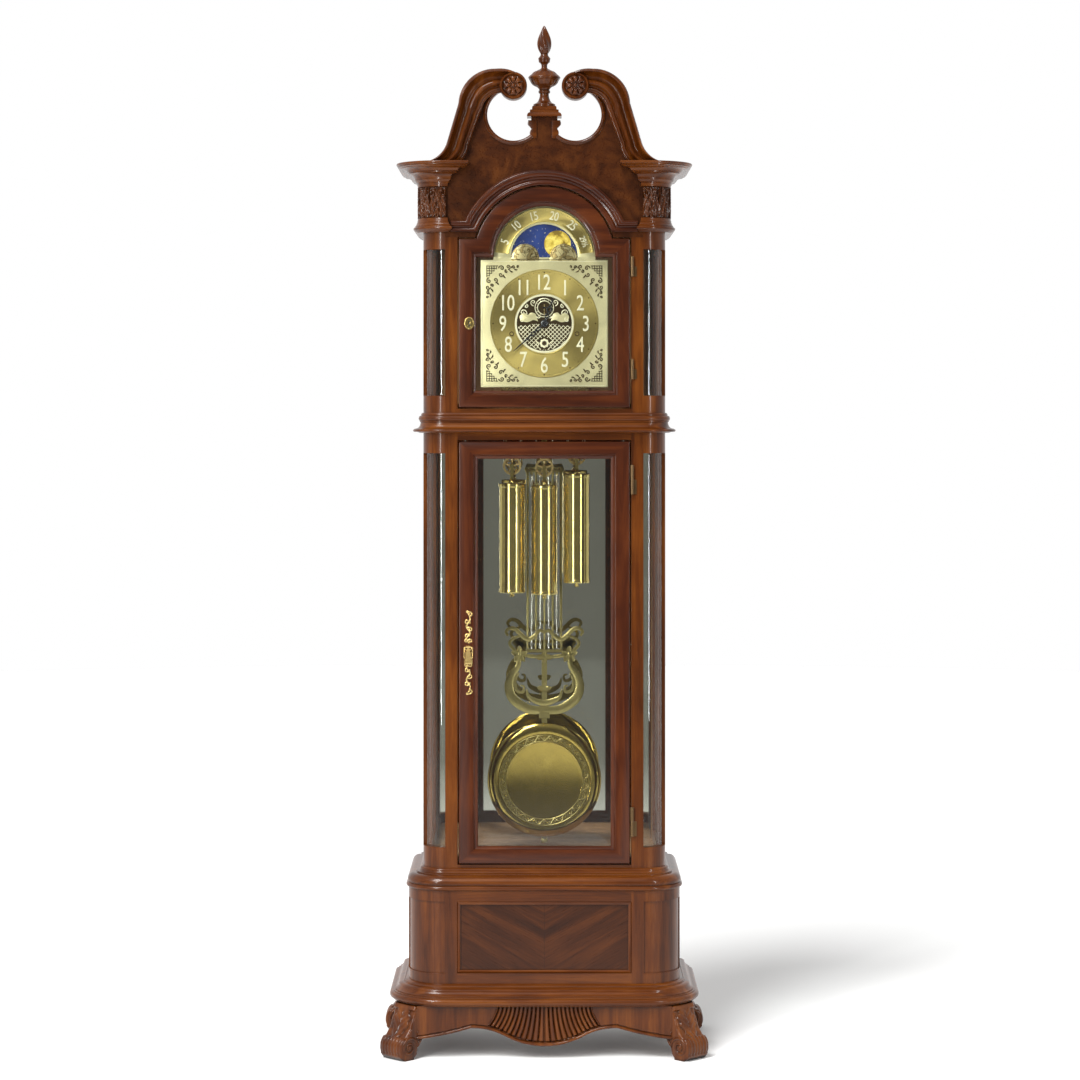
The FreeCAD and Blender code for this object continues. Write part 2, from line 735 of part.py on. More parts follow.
def pediment_half(side):
    """The right half of the pediment board's edge, or the left half with side = -1."""
    opening = S.opening_radius
    centre_x = S.opening_half
    centre_z = ROOF_Z + S.opening_rise
    post_z = centre_z - leg(opening, centre_x - S.post_half)
    top = ROOF_Z + S.rosette_rise
    points = [
        (S.corner_half, SHOULDER_Z + S.door_gap), (S.corner_half, ROOF_Z),
        (S.corner_half - 30, ROOF_Z + 40), (S.corner_half - 46, ROOF_Z + 100),
        (centre_x + 37, top + 13, (S.corner_half - centre_x) * OUTER_SWEEP),
        (centre_x + leg(opening, 50), centre_z + 50),
        (centre_x + opening, centre_z, -opening), (centre_x, centre_z - opening, -opening),
        (S.post_half, post_z, -opening), (S.post_half, PLINTH_Z)]
    if side > 0:
        return points
    turned_back = []
    for index in range(len(points) - 1, -1, -1):
        corner = (-as_size(points[index][0]), points[index][1])
        arrives = points[index + 1] if index + 1 < len(points) else ()
        turned_back.append(corner + tuple(arrives[2:]))
    return turned_back


def pediment():
    foot_x = leg(NOTCH_RADIUS, SHOULDER_Z + S.door_gap - ARCH_Z)
    low = SHOULDER_Z + S.door_gap
    loop = pediment_half(1) + pediment_half(-1) + [(-foot_x, low), (foot_x, low, -NOTCH_RADIUS)]
    add("pediment_board", slab("pediment_board", "y", [loop], FRONT_Y, S.wall))


def swan_necks():
    """Scrolled mouldings that end in rosettes above the openings."""
    boss = S.rosette_radius + 2
    x = S.opening_half
    z = ROOF_Z + S.rosette_rise
    foot_out = S.corner_half + 36
    foot_in = S.corner_half - 34
    span = S.corner_half - S.opening_half
    neck = slab("neck", "y", [[
        (foot_out, ROOF_Z), (foot_out - 40, ROOF_Z + 38, -60), (foot_out - 66, ROOF_Z + 126),
        (x + 37, z + 37, span * OUTER_SWEEP), (x - 16, z + leg(boss, 16), 75), (x - boss, z, boss), (x, z - boss, boss),
        (x + leg(boss, 13), z - 13, boss), (foot_in - 46, ROOF_Z + 114, -(span * INNER_SWEEP)),
        (foot_in - 17, ROOF_Z + 38), (foot_in, ROOF_Z, 60)]], NECK_Y, S.neck_projection)
    rosette = turned("rosette", [
        (0, 0), (S.rosette_radius, 0), (S.rosette_radius, 4), (S.rosette_radius - 5, 6),
        (S.rosette_radius - 8, 3), (8, 3), (5, 8), (0, 8)])
    put(rosette, x, NECK_Y, z, X_AXIS, QUARTER)
    add("swan_necks", group("necks", both(neck) + both(rosette)))


def finial():
    """Turned urn finial with a flame, on a square plinth."""
    depth = S.plinth_half * 2 - 20
    plinth = new_body("finial_plinth")
    for inset, low, height in ((0, 0, 8), (6, 8, 6), (11, 14, S.plinth_height - 14)):
        half = S.plinth_half - inset
        deep = depth * HALF - inset * HALF
        pad(plinth, "z", [rectangle(-half, BOARD_MIDDLE_Y - deep, half, BOARD_MIDDLE_Y + deep)],
            PLINTH_Z + low, height)
    add("finial_plinth", plinth)
    high = S.finial_height
    body = turned("finial", [
        (0, 0), (24, 0), (24, 5), (15, 12), (10, 24, -22), (10, 36), (20, 46, -18), (33, 60, 20),
        (34, 68), (31, 72), (18, 80, 18), (6, 86), (6.5, 92), (12.5, 106, -24), (12.5, 110), (8, 116),
        (15.5, 142, 32), (1.5, high - 1, 60), (0, high)])
    put(body, 0, BOARD_MIDDLE_Y, PLINTH_Z + S.plinth_height)
    add("finial", body)


# ---- doors -----------------------------------------------------------------------------------

TRUNK_HINGES = (60, 812)
HOOD_HINGES = (62, 288)
TRUNK_HINGE_LENGTH = 64
HOOD_HINGE_LENGTH = 44


def hinge_half(name, low, length, fixed):
    """The case half of a hinge carries the pin. The door half turns on it."""
    body = new_body(name)
    half = length * HALF
    if fixed:
        pad(body, "z", [Round(HINGE_X, HINGE_Y, S.hinge_radius)], low, half)
        pad(body, "z", [rectangle(HINGE_X, FRONT_Y - 1.5, HINGE_X + 10, FRONT_Y)], low, half)
        pad(body, "z", [Round(HINGE_X, HINGE_Y, S.hinge_pin)], low, length)
        pad(body, "z", [rectangle(HINGE_X - 1, HINGE_Y, HINGE_X + 1, FRONT_Y)], low, half)
        return body
    bore = S.hinge_pin + S.running_fit
    pad(body, "z", [Round(HINGE_X, HINGE_Y, S.hinge_radius), Round(HINGE_X, HINGE_Y, bore)],
        low + half + 0.3, half - 0.3)
    strip = rectangle(DOOR_HALF, HINGE_Y - 2, DOOR_HALF + 1.4, HINGE_Y + 10)
    pad(body, "z", [strip], low + half + 0.3, half - 0.3)
    return body


def hinges(door, floor, heights, length):
    """Hinges of one door: the case halves and the door halves."""
    fixed = [hinge_half(f"{door}_case_hinge_{n}", floor + rise, length, True)
             for n, rise in enumerate(heights)]
    moving = [hinge_half(f"{door}_door_hinge_{n}", floor + rise, length, False)
              for n, rise in enumerate(heights)]
    return fixed, moving


def trunk_door():
    half = DOOR_HALF - S.door_stile
    opening = rectangle(-half, TRUNK_DOOR_Z + S.door_rail, half, TRUNK_DOOR_TOP - S.door_rail)
    add("trunk_door_frame", slab("trunk_door_frame", "y", [
        rectangle(-DOOR_HALF, TRUNK_DOOR_Z, DOOR_HALF, TRUNK_DOOR_TOP), opening],
        DOOR_Y, S.door_thickness))
    add("trunk_door_glass", slab("trunk_door_glass", "y", [opening], DOOR_Y + 9, S.glass))
    pull_x = -(DOOR_HALF - S.door_stile * HALF)
    pull_z = (TRUNK_DOOR_Z + TRUNK_DOOR_TOP) * HALF
    pull = slab("trunk_door_pull", "y", [[
        (pull_x, pull_z - 94), (pull_x + 10, pull_z - 80, 20), (pull_x + 10, pull_z - 40),
        (pull_x + 13, pull_z, 90), (pull_x + 10, pull_z + 40, 90), (pull_x + 10, pull_z + 80),
        (pull_x, pull_z + 94, 20), (pull_x - 10, pull_z + 80, 20), (pull_x - 10, pull_z + 40),
        (pull_x - 13, pull_z, 90), (pull_x - 10, pull_z - 40, 90), (pull_x - 10, pull_z - 80)]],
        DOOR_Y - 3, 3)
    pad(pull, "y", [[(pull_x - 10, pull_z - 24), (pull_x + 10, pull_z - 24), (pull_x + 4, pull_z + 10),
                     (pull_x - 4, pull_z + 10)]], DOOR_Y - 12, 9)
    add("trunk_door_pull", pull)
    fixed, moving = hinges("trunk", TRUNK_DOOR_Z, TRUNK_HINGES, TRUNK_HINGE_LENGTH)
    add("trunk_door_hinges", group("trunk_hinge_leaves", moving))
    return fixed


def arched(half, low, shoulder, arch_z, radius):
    """A door outline with an arch that springs from its shoulders."""
    if shoulder is arch_z:
        return [(-half, low), (half, low), (half, shoulder), (radius, shoulder),
                (0, arch_z + radius, radius), (-radius, shoulder, radius), (-half, shoulder)]
    spring = leg(radius, shoulder - arch_z)
    return [(-half, low), (half, low), (half, shoulder), (spring, shoulder),
            (-spring, shoulder, radius), (-half, shoulder)]


def hood_door():
    outline = arched(DOOR_HALF, HOOD_DOOR_Z, SHOULDER_Z, ARCH_Z, ARCH_RADIUS)
    half = DOOR_HALF - S.hood_stile
    opening = arched(half, HOOD_DOOR_Z + S.hood_rail, ARCH_Z, ARCH_Z, ARCH_OPENING)
    add("hood_door_frame", slab("hood_door_frame", "y", [outline, opening], DOOR_Y, S.door_thickness))
    add("hood_door_glass", slab("hood_door_glass", "y", [opening], DOOR_Y + 9, S.glass))
    fixed, moving = hinges("hood", HOOD_DOOR_Z, HOOD_HINGES, HOOD_HINGE_LENGTH)
    lock_x = -(DOOR_HALF - 23)
    plate = slab("keyhole_plate", "y", [[
        (lock_x - 10.5, HUB_Z - 3), (lock_x, HUB_Z - 13.5, 10.5), (lock_x + 10.5, HUB_Z - 3, 10.5),
        (lock_x + 10.5, HUB_Z + 3), (lock_x, HUB_Z + 13.5, 10.5), (lock_x - 10.5, HUB_Z + 3, 10.5)]],
        DOOR_Y - 1.5, 1.5)
    add("hood_door_hardware", group("hood_door_metal", moving + [plate]))
    door_back = DOOR_Y + S.door_thickness
    cam = new_body("hood_lock_cam")
    behind = FRAME_BACK_Y + 0.3
    pad(cam, "y", [Round(lock_x, HUB_Z, 4)], door_back, behind - door_back + 2)
    pad(cam, "y", [rectangle(lock_x - 5, HUB_Z - 5, lock_x + 5, HUB_Z + 31)], behind, 2)
    add("hood_lock_cam", cam)
    return fixed


# ---- dial and hands --------------------------------------------------------------------------

def winding_points():
    """Winding arbors: chime, time and strike."""
    return {"left": (-S.winding_half, HUB_Z - S.winding_drop),
            "middle": (Size(0), HUB_Z - S.middle_drop),
            "right": (S.winding_half, HUB_Z - S.winding_drop)}


def dial():
    """Brass dial plate with its moon aperture, chapter ring, corner spandrels and dial feet."""
    half = S.dial_half
    arch = S.moon_arch
    hump = S.hump_radius
    rim = S.aperture_radius
    left = S.hump_half - hump
    aperture = [(rim, ARCH_Z), (0, ARCH_Z + rim, rim), (-rim, ARCH_Z, rim)]
    for centre in (-S.hump_half, S.hump_half):
        aperture += [(centre - hump, ARCH_Z), (centre, ARCH_Z + hump, -hump),
                     (centre + hump, ARCH_Z, -hump)]
    holes = [Round(x, z, S.drum_arbor + 2) for x, z in winding_points().values()]
    holes += [Round(0, HUB_Z, 6), Round(0, SECONDS_Z, S.small_arbor + 0.5)]
    outline = [(-half, HUB_Z - half), (half, HUB_Z - half), (half, HUB_Z + half),
               (arch, HUB_Z + half), (arch, ARCH_Z), (0, ARCH_Z + arch, arch), (-arch, ARCH_Z, arch),
               (-arch, HUB_Z + half), (-half, HUB_Z + half)]
    plate = slab("dial_face", "y", [outline, aperture] + holes, DIAL_Y, S.dial_thickness)
    ring = slab("chapter_ring", "y", [Round(0, HUB_Z, S.ring_outer), Round(0, HUB_Z, S.ring_inner)],
                DIAL_Y - 2, 2)
    edge = half - 13
    near = 62
    far = leg(S.ring_outer + 2.5, near)
    corners = []
    for sx in (-1, 1):
        for sz in (-1, 1):
            bend = -(S.ring_outer + 2.5) if sx * sz > 0 else S.ring_outer + 2.5
            corners.append([(edge * sx, HUB_Z + edge * sz), (Size(near) * sx, HUB_Z + edge * sz),
                            (Size(near) * sx, HUB_Z + far * sz), (far * sx, HUB_Z + Size(near) * sz, bend),
                            (edge * sx, HUB_Z + Size(near) * sz)])
    spandrels = slab("spandrels", "y", corners, DIAL_Y - 1, 1)
    feet = []
    for sx in (-1, 1):
        for sz in (-1, 1):
            feet.append(rod_back("dial_foot", Size(80) * sx, DIAL_BACK_Y, HUB_Z + Size(85) * sz, 3,
                                 FRONT_PLATE_Y - DIAL_BACK_Y))
    add("dial_plate", group("dial_parts", [plate, ring, spandrels] + feet))


def hand(name, length, width, hub, hub_bore, y, thickness, angle):
    """A flat hand drawn upright about the origin, then turned to the time."""
    loops = [[(-width, 0), (-width, length * 0.7), (0, length, 400), (width, length * 0.7, 400),
              (width, 0)]]
    body = slab(name + "_blade", "y", loops, 0, thickness)
    pad(body, "y", [Round(0, 0, hub)], 0, thickness)
    if hub_bore:
        pocket(body, "y", [Round(0, 0, hub_bore)], 0, thickness)
    return put(body, 0, y, HUB_Z, Y_AXIS, angle)


def hands():
    """Hour hand on its pipe, minute hand on the centre arbor, seconds hand on the escape arbor."""
    hour_y = DIAL_Y - 6
    minute_y = DIAL_Y - 9
    pipe_inner = S.hub_arbor + S.running_fit
    hour = hand("hour_hand", 58, 4, 9, pipe_inner, hour_y, 1.5, HOUR_ANGLE)
    pipe = slab("hour_pipe", "y", [Round(0, HUB_Z, 4.5), Round(0, HUB_Z, pipe_inner)],
                hour_y + 1.5, FRONT_PLATE_Y - hour_y - 3)
    add("hour_hand", fuse("hour_hand_whole", [hour, pipe]))
    minute = hand("minute_hand", 92, 3.5, 7, 0, minute_y, 1.5, MINUTE_ANGLE)
    arbor = rod_back("centre_arbor", 0, minute_y - 1, HUB_Z, S.hub_arbor,
                     BACK_PLATE_Y + S.plate_thickness - minute_y + 1)
    wheel = rod_back("centre_wheel", 0, FRONT_PLATE_Y + 9, HUB_Z, 24, 2)
    add("minute_hand", fuse("minute_hand_whole", [minute, arbor, wheel]))
    seconds_y = DIAL_Y - 2
    seconds = slab("seconds_blade", "y", [[(-1, 8), (-1, -17), (1, -17), (1, 8)]], 0, 0.8)
    put(seconds, 0, seconds_y, SECONDS_Z)
    arbor = rod_back("escape_arbor", 0, seconds_y, SECONDS_Z, S.small_arbor,
                     BACK_PLATE_Y + S.plate_thickness - seconds_y)
    hand_piece = fuse("seconds_hand_whole", [seconds, arbor])
    add("second_hand", group("seconds_parts", [hand_piece, escape_wheel()]))


def escape_wheel():
    """Thirty raked teeth on a rim, bored for its arbor."""
    wheel = slab("escape_wheel", "y", [Round(0, 0, 12)], 0, 2)
    tooth = pad(wheel, "y", [[(-1, 11), (0.5, 11), (0.2, 15)]], 0, 2)
    DOC.recompute()
    teeth = wheel.newObject("PartDesign::PolarPattern", "escape_teeth")
    teeth.Originals = [tooth]
    teeth.Axis = (origin_feature(wheel, "Y_Axis"), [""])
    teeth.Angle = FULL_TURN
    teeth.Occurrences = ESCAPE_TEETH
    wheel.Tip = teeth
    pocket(wheel, "y", [Round(0, 0, S.small_arbor)], 0, 2)
    return put(wheel, 0, BACK_PLATE_Y - 7, SECONDS_Z)


def moon():
    """Painted disc behind the aperture, on an arbor through the movement's front plate."""
    disc = rod_back("moon_face", 0, DIAL_BACK_Y + 0.5, ARCH_Z, S.aperture_radius + 4, 1.2)
    arbor = rod_back("moon_arbor", 0, DIAL_BACK_Y + 0.5, ARCH_Z, S.small_arbor,
                     FRONT_PLATE_Y + S.plate_thickness - DIAL_BACK_Y - 0.5)
    add("moon_disc", fuse("moon_disc_whole", [disc, arbor]))


# ---- movement --------------------------------------------------------------------------------

HAMMER_X = [20 * (n - (CHIME_RODS - 1) / 2) for n in range(CHIME_RODS)]
HAMMER_AXLE = 2
HAMMER_RISE = 75
HAMMER_DEPTH = 215


def movement():
    """Two plates on pillars, bored for every arbor, and the posts of the hammer rail."""
    fit = S.running_fit
    holes = [Round(x, z, S.drum_arbor + fit) for x, z in winding_points().values()]
    holes += [Round(0, HUB_Z, S.hub_arbor + fit), Round(0, SECONDS_Z, S.small_arbor + fit),
              Round(0, ANCHOR_Z, S.small_arbor + fit)]
    top = HUB_Z + 94
    wide = S.plate_half
    tab = [(-wide, SEAT_TOP), (wide, SEAT_TOP), (wide, top), (15, top), (15, ARCH_Z + 14),
           (-15, ARCH_Z + 14), (-15, top), (-wide, top)]
    front = slab("front_plate", "y", [tab, Round(0, ARCH_Z, S.small_arbor + fit)] + holes,
                 FRONT_PLATE_Y, S.plate_thickness)
    rear = slab("back_plate", "y", [rectangle(-wide, SEAT_TOP, wide, top)] + holes,
                BACK_PLATE_Y, S.plate_thickness)
    pieces = [front, rear]
    gap = BACK_PLATE_Y - FRONT_PLATE_Y - S.plate_thickness
    for sx in (-1, 1):
        for z in (SEAT_TOP + 15, top - 10):
            pieces.append(rod_back("pillar", Size(72) * sx, FRONT_PLATE_Y + S.plate_thickness, z, 5, gap))
    axle_z = SEAT_TOP + HAMMER_RISE
    for sx in (-1, 1):
        post = slab("hammer_post", "x", [
            rectangle(FRONT_Y + HAMMER_DEPTH - 6, SEAT_TOP, FRONT_Y + HAMMER_DEPTH + 6, axle_z + 6),
            Round(FRONT_Y + HAMMER_DEPTH, axle_z, HAMMER_AXLE + S.running_fit)],
            Size(96) * sx - 3, 6)
        pieces.append(post)
    add("movement_plates", group("movement_frame", pieces))


def drum(side, x, z):
    """A winding drum with its great wheel. The arbor runs out to the winding hole in the dial."""
    front = FRONT_PLATE_Y + S.plate_thickness
    arbor = rod_back(side + "_arbor", x, DIAL_Y, z, S.drum_arbor, BACK_PLATE_Y + S.plate_thickness
                     - DIAL_Y)
    barrel = rod_back(side + "_barrel", x, front + 15, z, S.drum_radius, 36)
    flange = rod_back(side + "_flange", x, front + 13, z, 21, 2)
    wheel = rod_back(side + "_wheel", x, front + 51, z, S.wheel_radius, 3)
    add(side + "_drum", fuse(side + "_drum_whole", [arbor, barrel, flange, wheel]))


def anchor():
    """Recoil anchor over the escape wheel, with the crutch that reaches back to the pendulum."""
    y = BACK_PLATE_Y - 7
    arms = slab("anchor_arms", "y", [[
        (-20, -26), (-17.5, -30), (-17.5, -12), (0, 0.5 - 6, -24), (17.5, -12, -24), (17.5, -30),
        (20, -26), (20, -8), (4, 4), (-4, 4), (-20, -8)]], 0, 2)
    put(arms, 0, y, ANCHOR_Z)
    arbor = rod_back("anchor_arbor", 0, FRONT_PLATE_Y, ANCHOR_Z, S.small_arbor,
                     S.back_plate_depth - S.front_plate_depth + S.plate_thickness + 14)
    crutch_y = BACK_PLATE_Y + S.plate_thickness + 8
    crutch = box("crutch", -3, crutch_y, ANCHOR_Z - 90, 6, 3, 90)
    reach = PENDULUM_Y - crutch_y
    bridge = box("crutch_bridge", -12, crutch_y, ANCHOR_Z - 94, 24, 4, 8)
    prongs = [box(f"prong_{n}", x, crutch_y, ANCHOR_Z - 94, 3, reach + 4, 8)
              for n, x in enumerate((-10, 7))]
    add("pallet_anchor", fuse("anchor_whole", [arms, arbor, crutch, bridge] + prongs))


def chimes():
    """Chime rods in a block on the back panel, and the row of hammers in front of them."""
    block_z = FRIEZE_Z - 62
    pieces = [box("chime_block", -92, BACK_INNER_Y - 30, block_z, 184, 30, 30)]
    for n, x in enumerate(HAMMER_X):
        length = 220 + 8 * n
        pieces.append(rod(f"chime_rod_{n}", x, BACK_INNER_Y - 15, block_z - length, 2.5, length))
    add("chime_rods", group("chime_set", pieces))
    axle_y = FRONT_Y + HAMMER_DEPTH
    axle_z = SEAT_TOP + HAMMER_RISE
    hammers = [rod("hammer_axle", -99, axle_y, axle_z, HAMMER_AXLE, 198, Y_AXIS, QUARTER)]
    gap = BACK_INNER_Y - 17.5 - axle_y
    for n, x in enumerate(HAMMER_X):
        hammers.append(box(f"hammer_arm_{n}", x - 2, axle_y - 2, axle_z, 4, 4, 44))
        hammers.append(rod_back(f"hammer_head_{n}", x, axle_y - 6, axle_z + 44, 5, gap - 5))
    add("chime_hammers", fuse("hammer_row", hammers))


def suspension():
    """Cock behind the back plate: two cheeks and the pin that the pendulum hangs from."""
    start = BACK_PLATE_Y + S.plate_thickness
    block = box("cock_arm", -10, start, ANCHOR_Z + 7, 20, S.pendulum_depth - S.back_plate_depth
                - S.plate_thickness + 14, 8)
    cheeks = [box(f"cock_cheek_{n}", -6, PENDULUM_Y + offset, ANCHOR_Z - 5, 12, 4, 14)
              for n, offset in enumerate((-12, 8))]
    pin = rod_back("suspension_pin", 0, PENDULUM_Y - 12, ANCHOR_Z, 1.5, 24)
    add("suspension_cock", fuse("cock_whole", [block, pin] + cheeks))


# ---- weights and cables ----------------------------------------------------------------------

HANGER_Z = SEAT_Z - 6


def pulley_height(side):
    return HOOD_Z - WEIGHT_DROPS[side] + S.pulley_rise


def weight(side, x):
    """A brass cylinder with a nut below and a stirrup above, which carries the pulley's axle."""
    top = HOOD_Z - WEIGHT_DROPS[side]
    axle = top + S.pulley_rise
    shell = turned(side + "_shell", [
        (0, -8), (5, -8), (5, 0), (S.weight_radius - 1.5, 0), (S.weight_radius, 1.5),
        (S.weight_radius, S.weight_length - 3), (S.weight_radius - 3, S.weight_length),
        (3, S.weight_length), (3, S.weight_length + 8), (0, S.weight_length + 8)])
    put(shell, x, CABLE_Y, top - S.weight_length)
    bridge = box(side + "_bridge", x - 4, CABLE_Y - 9, top + 8, 8, 18, 4)
    cheeks = [box(f"{side}_cheek_{n}", x - 4, CABLE_Y + offset, top + 8, 8, 2, S.pulley_rise - 2)
              for n, offset in enumerate((-9, 7))]
    axle_pin = rod_back(side + "_axle", x, CABLE_Y - 9, axle, 2, 18)
    add(side + "_weight", fuse(side + "_weight_whole", [shell, bridge, axle_pin] + cheeks))


def pulley(side, x):
    """A grooved wheel bored for the stirrup's axle."""
    groove = S.cable_circle - S.cable_radius - 0.2
    bore = 2 + S.running_fit
    wheel = turned(side + "_pulley", [
        (bore, -4.5), (S.pulley_flange, -4.5), (S.pulley_flange, -3.5), (groove, -1.5), (groove, 1.5),
        (S.pulley_flange, 3.5), (S.pulley_flange, 4.5), (bore, 4.5)])
    put(wheel, x, CABLE_Y, pulley_height(side), X_AXIS, QUARTER)
    add(side + "_pulley", wheel)


def cable(side, x):
    """The moving loop of one cable: down to the pulley, round it and up to the hanger bar."""
    axle = pulley_height(side)
    fall = HANGER_Z - axle
    falls = [rod(f"{side}_fall_{n}", x + S.cable_circle * sign, CABLE_Y, axle, S.cable_radius, fall)
             for n, sign in enumerate((-1, 1))]
    bend = DOC.addObject("Part::Torus", side + "_bend")
    bind(bend, "Radius1", S.cable_circle)
    bind(bend, "Radius2", S.cable_radius)
    bend.Angle3 = 2 * QUARTER
    put(bend, x, CABLE_Y, axle, X_AXIS, -QUARTER)
    add(side + "_cable", fuse(side + "_cable_whole", falls + [bend]))


def cable_hanger():
    """Bar under the seat board that the cables end at, and the leads up to the drums."""
    half = S.winding_half + S.cable_circle + 24
    holes = [Round(x - S.cable_circle, CABLE_Y, S.cable_radius + 1) for x, z in winding_points().values()]
    bar = slab("hanger_bar", "z", [rectangle(-half, CABLE_Y - 5, half, CABLE_Y + 5)] + holes, HANGER_Z, 6)
    pieces = [bar]
    for side, (x, z) in winding_points().items():
        pieces.append(rod(side + "_lead", x - S.cable_circle, CABLE_Y, HANGER_Z, S.cable_radius,
                          z - HANGER_Z))
    add("cable_hanger", group("hanger_parts", pieces))


# ---- pendulum --------------------------------------------------------------------------------

BOB_Z = FLOOR_Z + S.bob_floor_gap + S.bob_radius
LYRE_Z = BOB_Z + S.bob_radius + S.lyre_rise


def pendulum_rod():
    """Suspension eye and strap, the grid of rods, the lower strap and the rating nut."""
    y = PENDULUM_Y
    eye = slab("pendulum_eye", "y", [Round(0, ANCHOR_Z, 5), Round(0, ANCHOR_Z, 1.5 + S.running_fit)],
               y - 7, 14)
    grid_top = HOOD_Z - 119
    grid_low = LYRE_Z + S.lyre_height - 62
    strap = box("upper_strap", -6, y - 1.5, grid_top, 12, 3, ANCHOR_Z - grid_top - 4)
    pieces = [eye, strap]
    for name, z, height in (("grid_head", grid_top - 14, 14), ("grid_foot", grid_low, 8)):
        half = S.grid_half + 4
        pieces.append(box(name, -half, y - 4, z, half * 2, 8, height))
    pitch = S.grid_half * (2 / (GRID_RODS - 1))
    for n in range(GRID_RODS):
        x = pitch * n - S.grid_half
        pieces.append(rod(f"grid_rod_{n}", x, y, grid_low, S.grid_rod, grid_top - 7 - grid_low))
    foot_z = BOB_Z - S.bob_radius - 12
    pieces.append(box("lower_strap", -6, y - 1.5, foot_z, 12, 3, grid_low - foot_z))
    pieces.append(rod("rating_nut", 0, y, foot_z - 2, 8, 10))
    add("pendulum_rod", fuse("pendulum_rod_whole", pieces))


def pendulum_lyre():
    """Pierced brass lyre fixed to the foot of the rod grid."""
    low = LYRE_Z
    high = LYRE_Z + S.lyre_height
    outline = [
        (-30, low, 75), (30, low), (84, low + 52, 75), (76, low + 100, 60), (62, low + 124, -60),
        (62, low + 148), (90, high - 12, -90), (80, high, 14), (42, low + 158, 60), (-42, low + 158),
        (-80, high, 60), (-90, high - 12, 14), (-62, low + 148, -90), (-62, low + 124),
        (-76, low + 100, -60), (-84, low + 52, 60)]
    opening = [(0, low + 22, 75), (56, low + 64, 75), (48, low + 108, 60), (0, low + 120, 120),
               (-48, low + 108, 120), (-56, low + 64, 60)]
    add("pendulum_lyre", slab("pendulum_lyre", "y", [outline, opening], PENDULUM_Y - 7, 3))


def pendulum_bob():
    """Dished brass disc with a raised rim and a flat polished middle."""
    rim = S.bob_radius
    deep = S.bob_thickness
    bob = turned("pendulum_bob", [
        (0, 0), (rim - 16, 0), (rim, 6, 30), (rim, 9), (rim - 22, deep, 30), (rim - 26, deep - 3),
        (rim - 40, deep - 3), (rim - 43, deep - 5), (0, deep - 5)])
    put(bob, 0, PENDULUM_Y - 1.5, BOB_Z, X_AXIS, QUARTER)
    add("pendulum_bob", bob)


def build():
    feet = scroll_feet()
    aprons(feet)
    base()
    side_walls(corner_pieces())
    front_frames()
    back_and_boards()
    waist()
    frieze_and_cornice()
    arch_moulding()
    pediment()
    swan_necks()
    finial()
    fixed_hinges = trunk_door() + hood_door()
    add("case_hinges", group("case_hinge_set", fixed_hinges))
    dial()
    hands()
    moon()
    movement()
    anchor()
    chimes()
    suspension()
    cable_hanger()
    for side, (x, z) in winding_points().items():
        drum(side, x, z)
        weight(side, x)
        pulley(side, x)
        cable(side, x)
    pendulum_rod()
    pendulum_lyre()
    pendulum_bob()


def check_document():
    """Stop before export if anything failed to build."""
    DOC.recompute()
    faults = [thing.Name for thing in DOC.Objects
              if "Invalid" in thing.State or "Error" in thing.State]
    for name, thing in PARTS:
        if thing.Shape.isNull() or not thing.Shape.isValid() or not thing.Shape.Solids:
            faults.append(name)
    if faults:
        raise RuntimeError("failed: " + ", ".join(faults))


def export():
    os.makedirs("parts", exist_ok=True)
    for name, thing in PARTS:
        thing.Shape.exportStep(f"parts/{name}.step")
    print(len(PARTS), "sub-parts written")


build()
check_document()
export()
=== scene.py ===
import json
import math
import random
import bpy
import numpy as np
from mathutils import Matrix, Vector

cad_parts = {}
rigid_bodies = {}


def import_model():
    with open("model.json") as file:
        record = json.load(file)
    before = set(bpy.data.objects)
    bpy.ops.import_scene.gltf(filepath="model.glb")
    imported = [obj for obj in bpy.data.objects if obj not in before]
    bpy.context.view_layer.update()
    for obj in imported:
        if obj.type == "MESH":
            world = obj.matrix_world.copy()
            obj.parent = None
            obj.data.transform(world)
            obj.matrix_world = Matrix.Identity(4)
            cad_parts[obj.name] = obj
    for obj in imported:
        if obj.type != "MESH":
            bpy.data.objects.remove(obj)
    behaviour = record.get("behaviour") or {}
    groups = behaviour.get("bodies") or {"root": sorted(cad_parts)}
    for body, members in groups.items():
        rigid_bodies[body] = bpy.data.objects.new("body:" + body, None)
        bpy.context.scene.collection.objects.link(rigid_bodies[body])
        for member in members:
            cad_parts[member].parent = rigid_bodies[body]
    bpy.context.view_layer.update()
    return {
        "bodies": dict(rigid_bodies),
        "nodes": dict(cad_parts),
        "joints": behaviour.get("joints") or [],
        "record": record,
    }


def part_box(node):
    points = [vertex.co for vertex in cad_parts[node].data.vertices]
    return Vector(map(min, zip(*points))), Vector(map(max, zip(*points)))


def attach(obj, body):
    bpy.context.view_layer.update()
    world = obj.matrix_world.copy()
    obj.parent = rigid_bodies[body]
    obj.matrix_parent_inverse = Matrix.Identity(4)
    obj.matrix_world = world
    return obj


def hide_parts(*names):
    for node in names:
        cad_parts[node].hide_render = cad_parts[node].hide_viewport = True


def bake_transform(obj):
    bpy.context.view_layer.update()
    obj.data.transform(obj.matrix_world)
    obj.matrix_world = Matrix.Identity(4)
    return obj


# Looks of the longcase clock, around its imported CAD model.
# Shapes are written in millimetres in the CAD frame and scaled to metres when their mesh is made.

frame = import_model()
MM = 0.001
PI = math.pi
random.seed(7)

# ---- places read from the CAD -----------------------------------------------------------------


def span(node):
    """Lowest and highest corner of a CAD node, in millimetres."""
    low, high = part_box(node)
    return [v * 1000 for v in low], [v * 1000 for v in high]


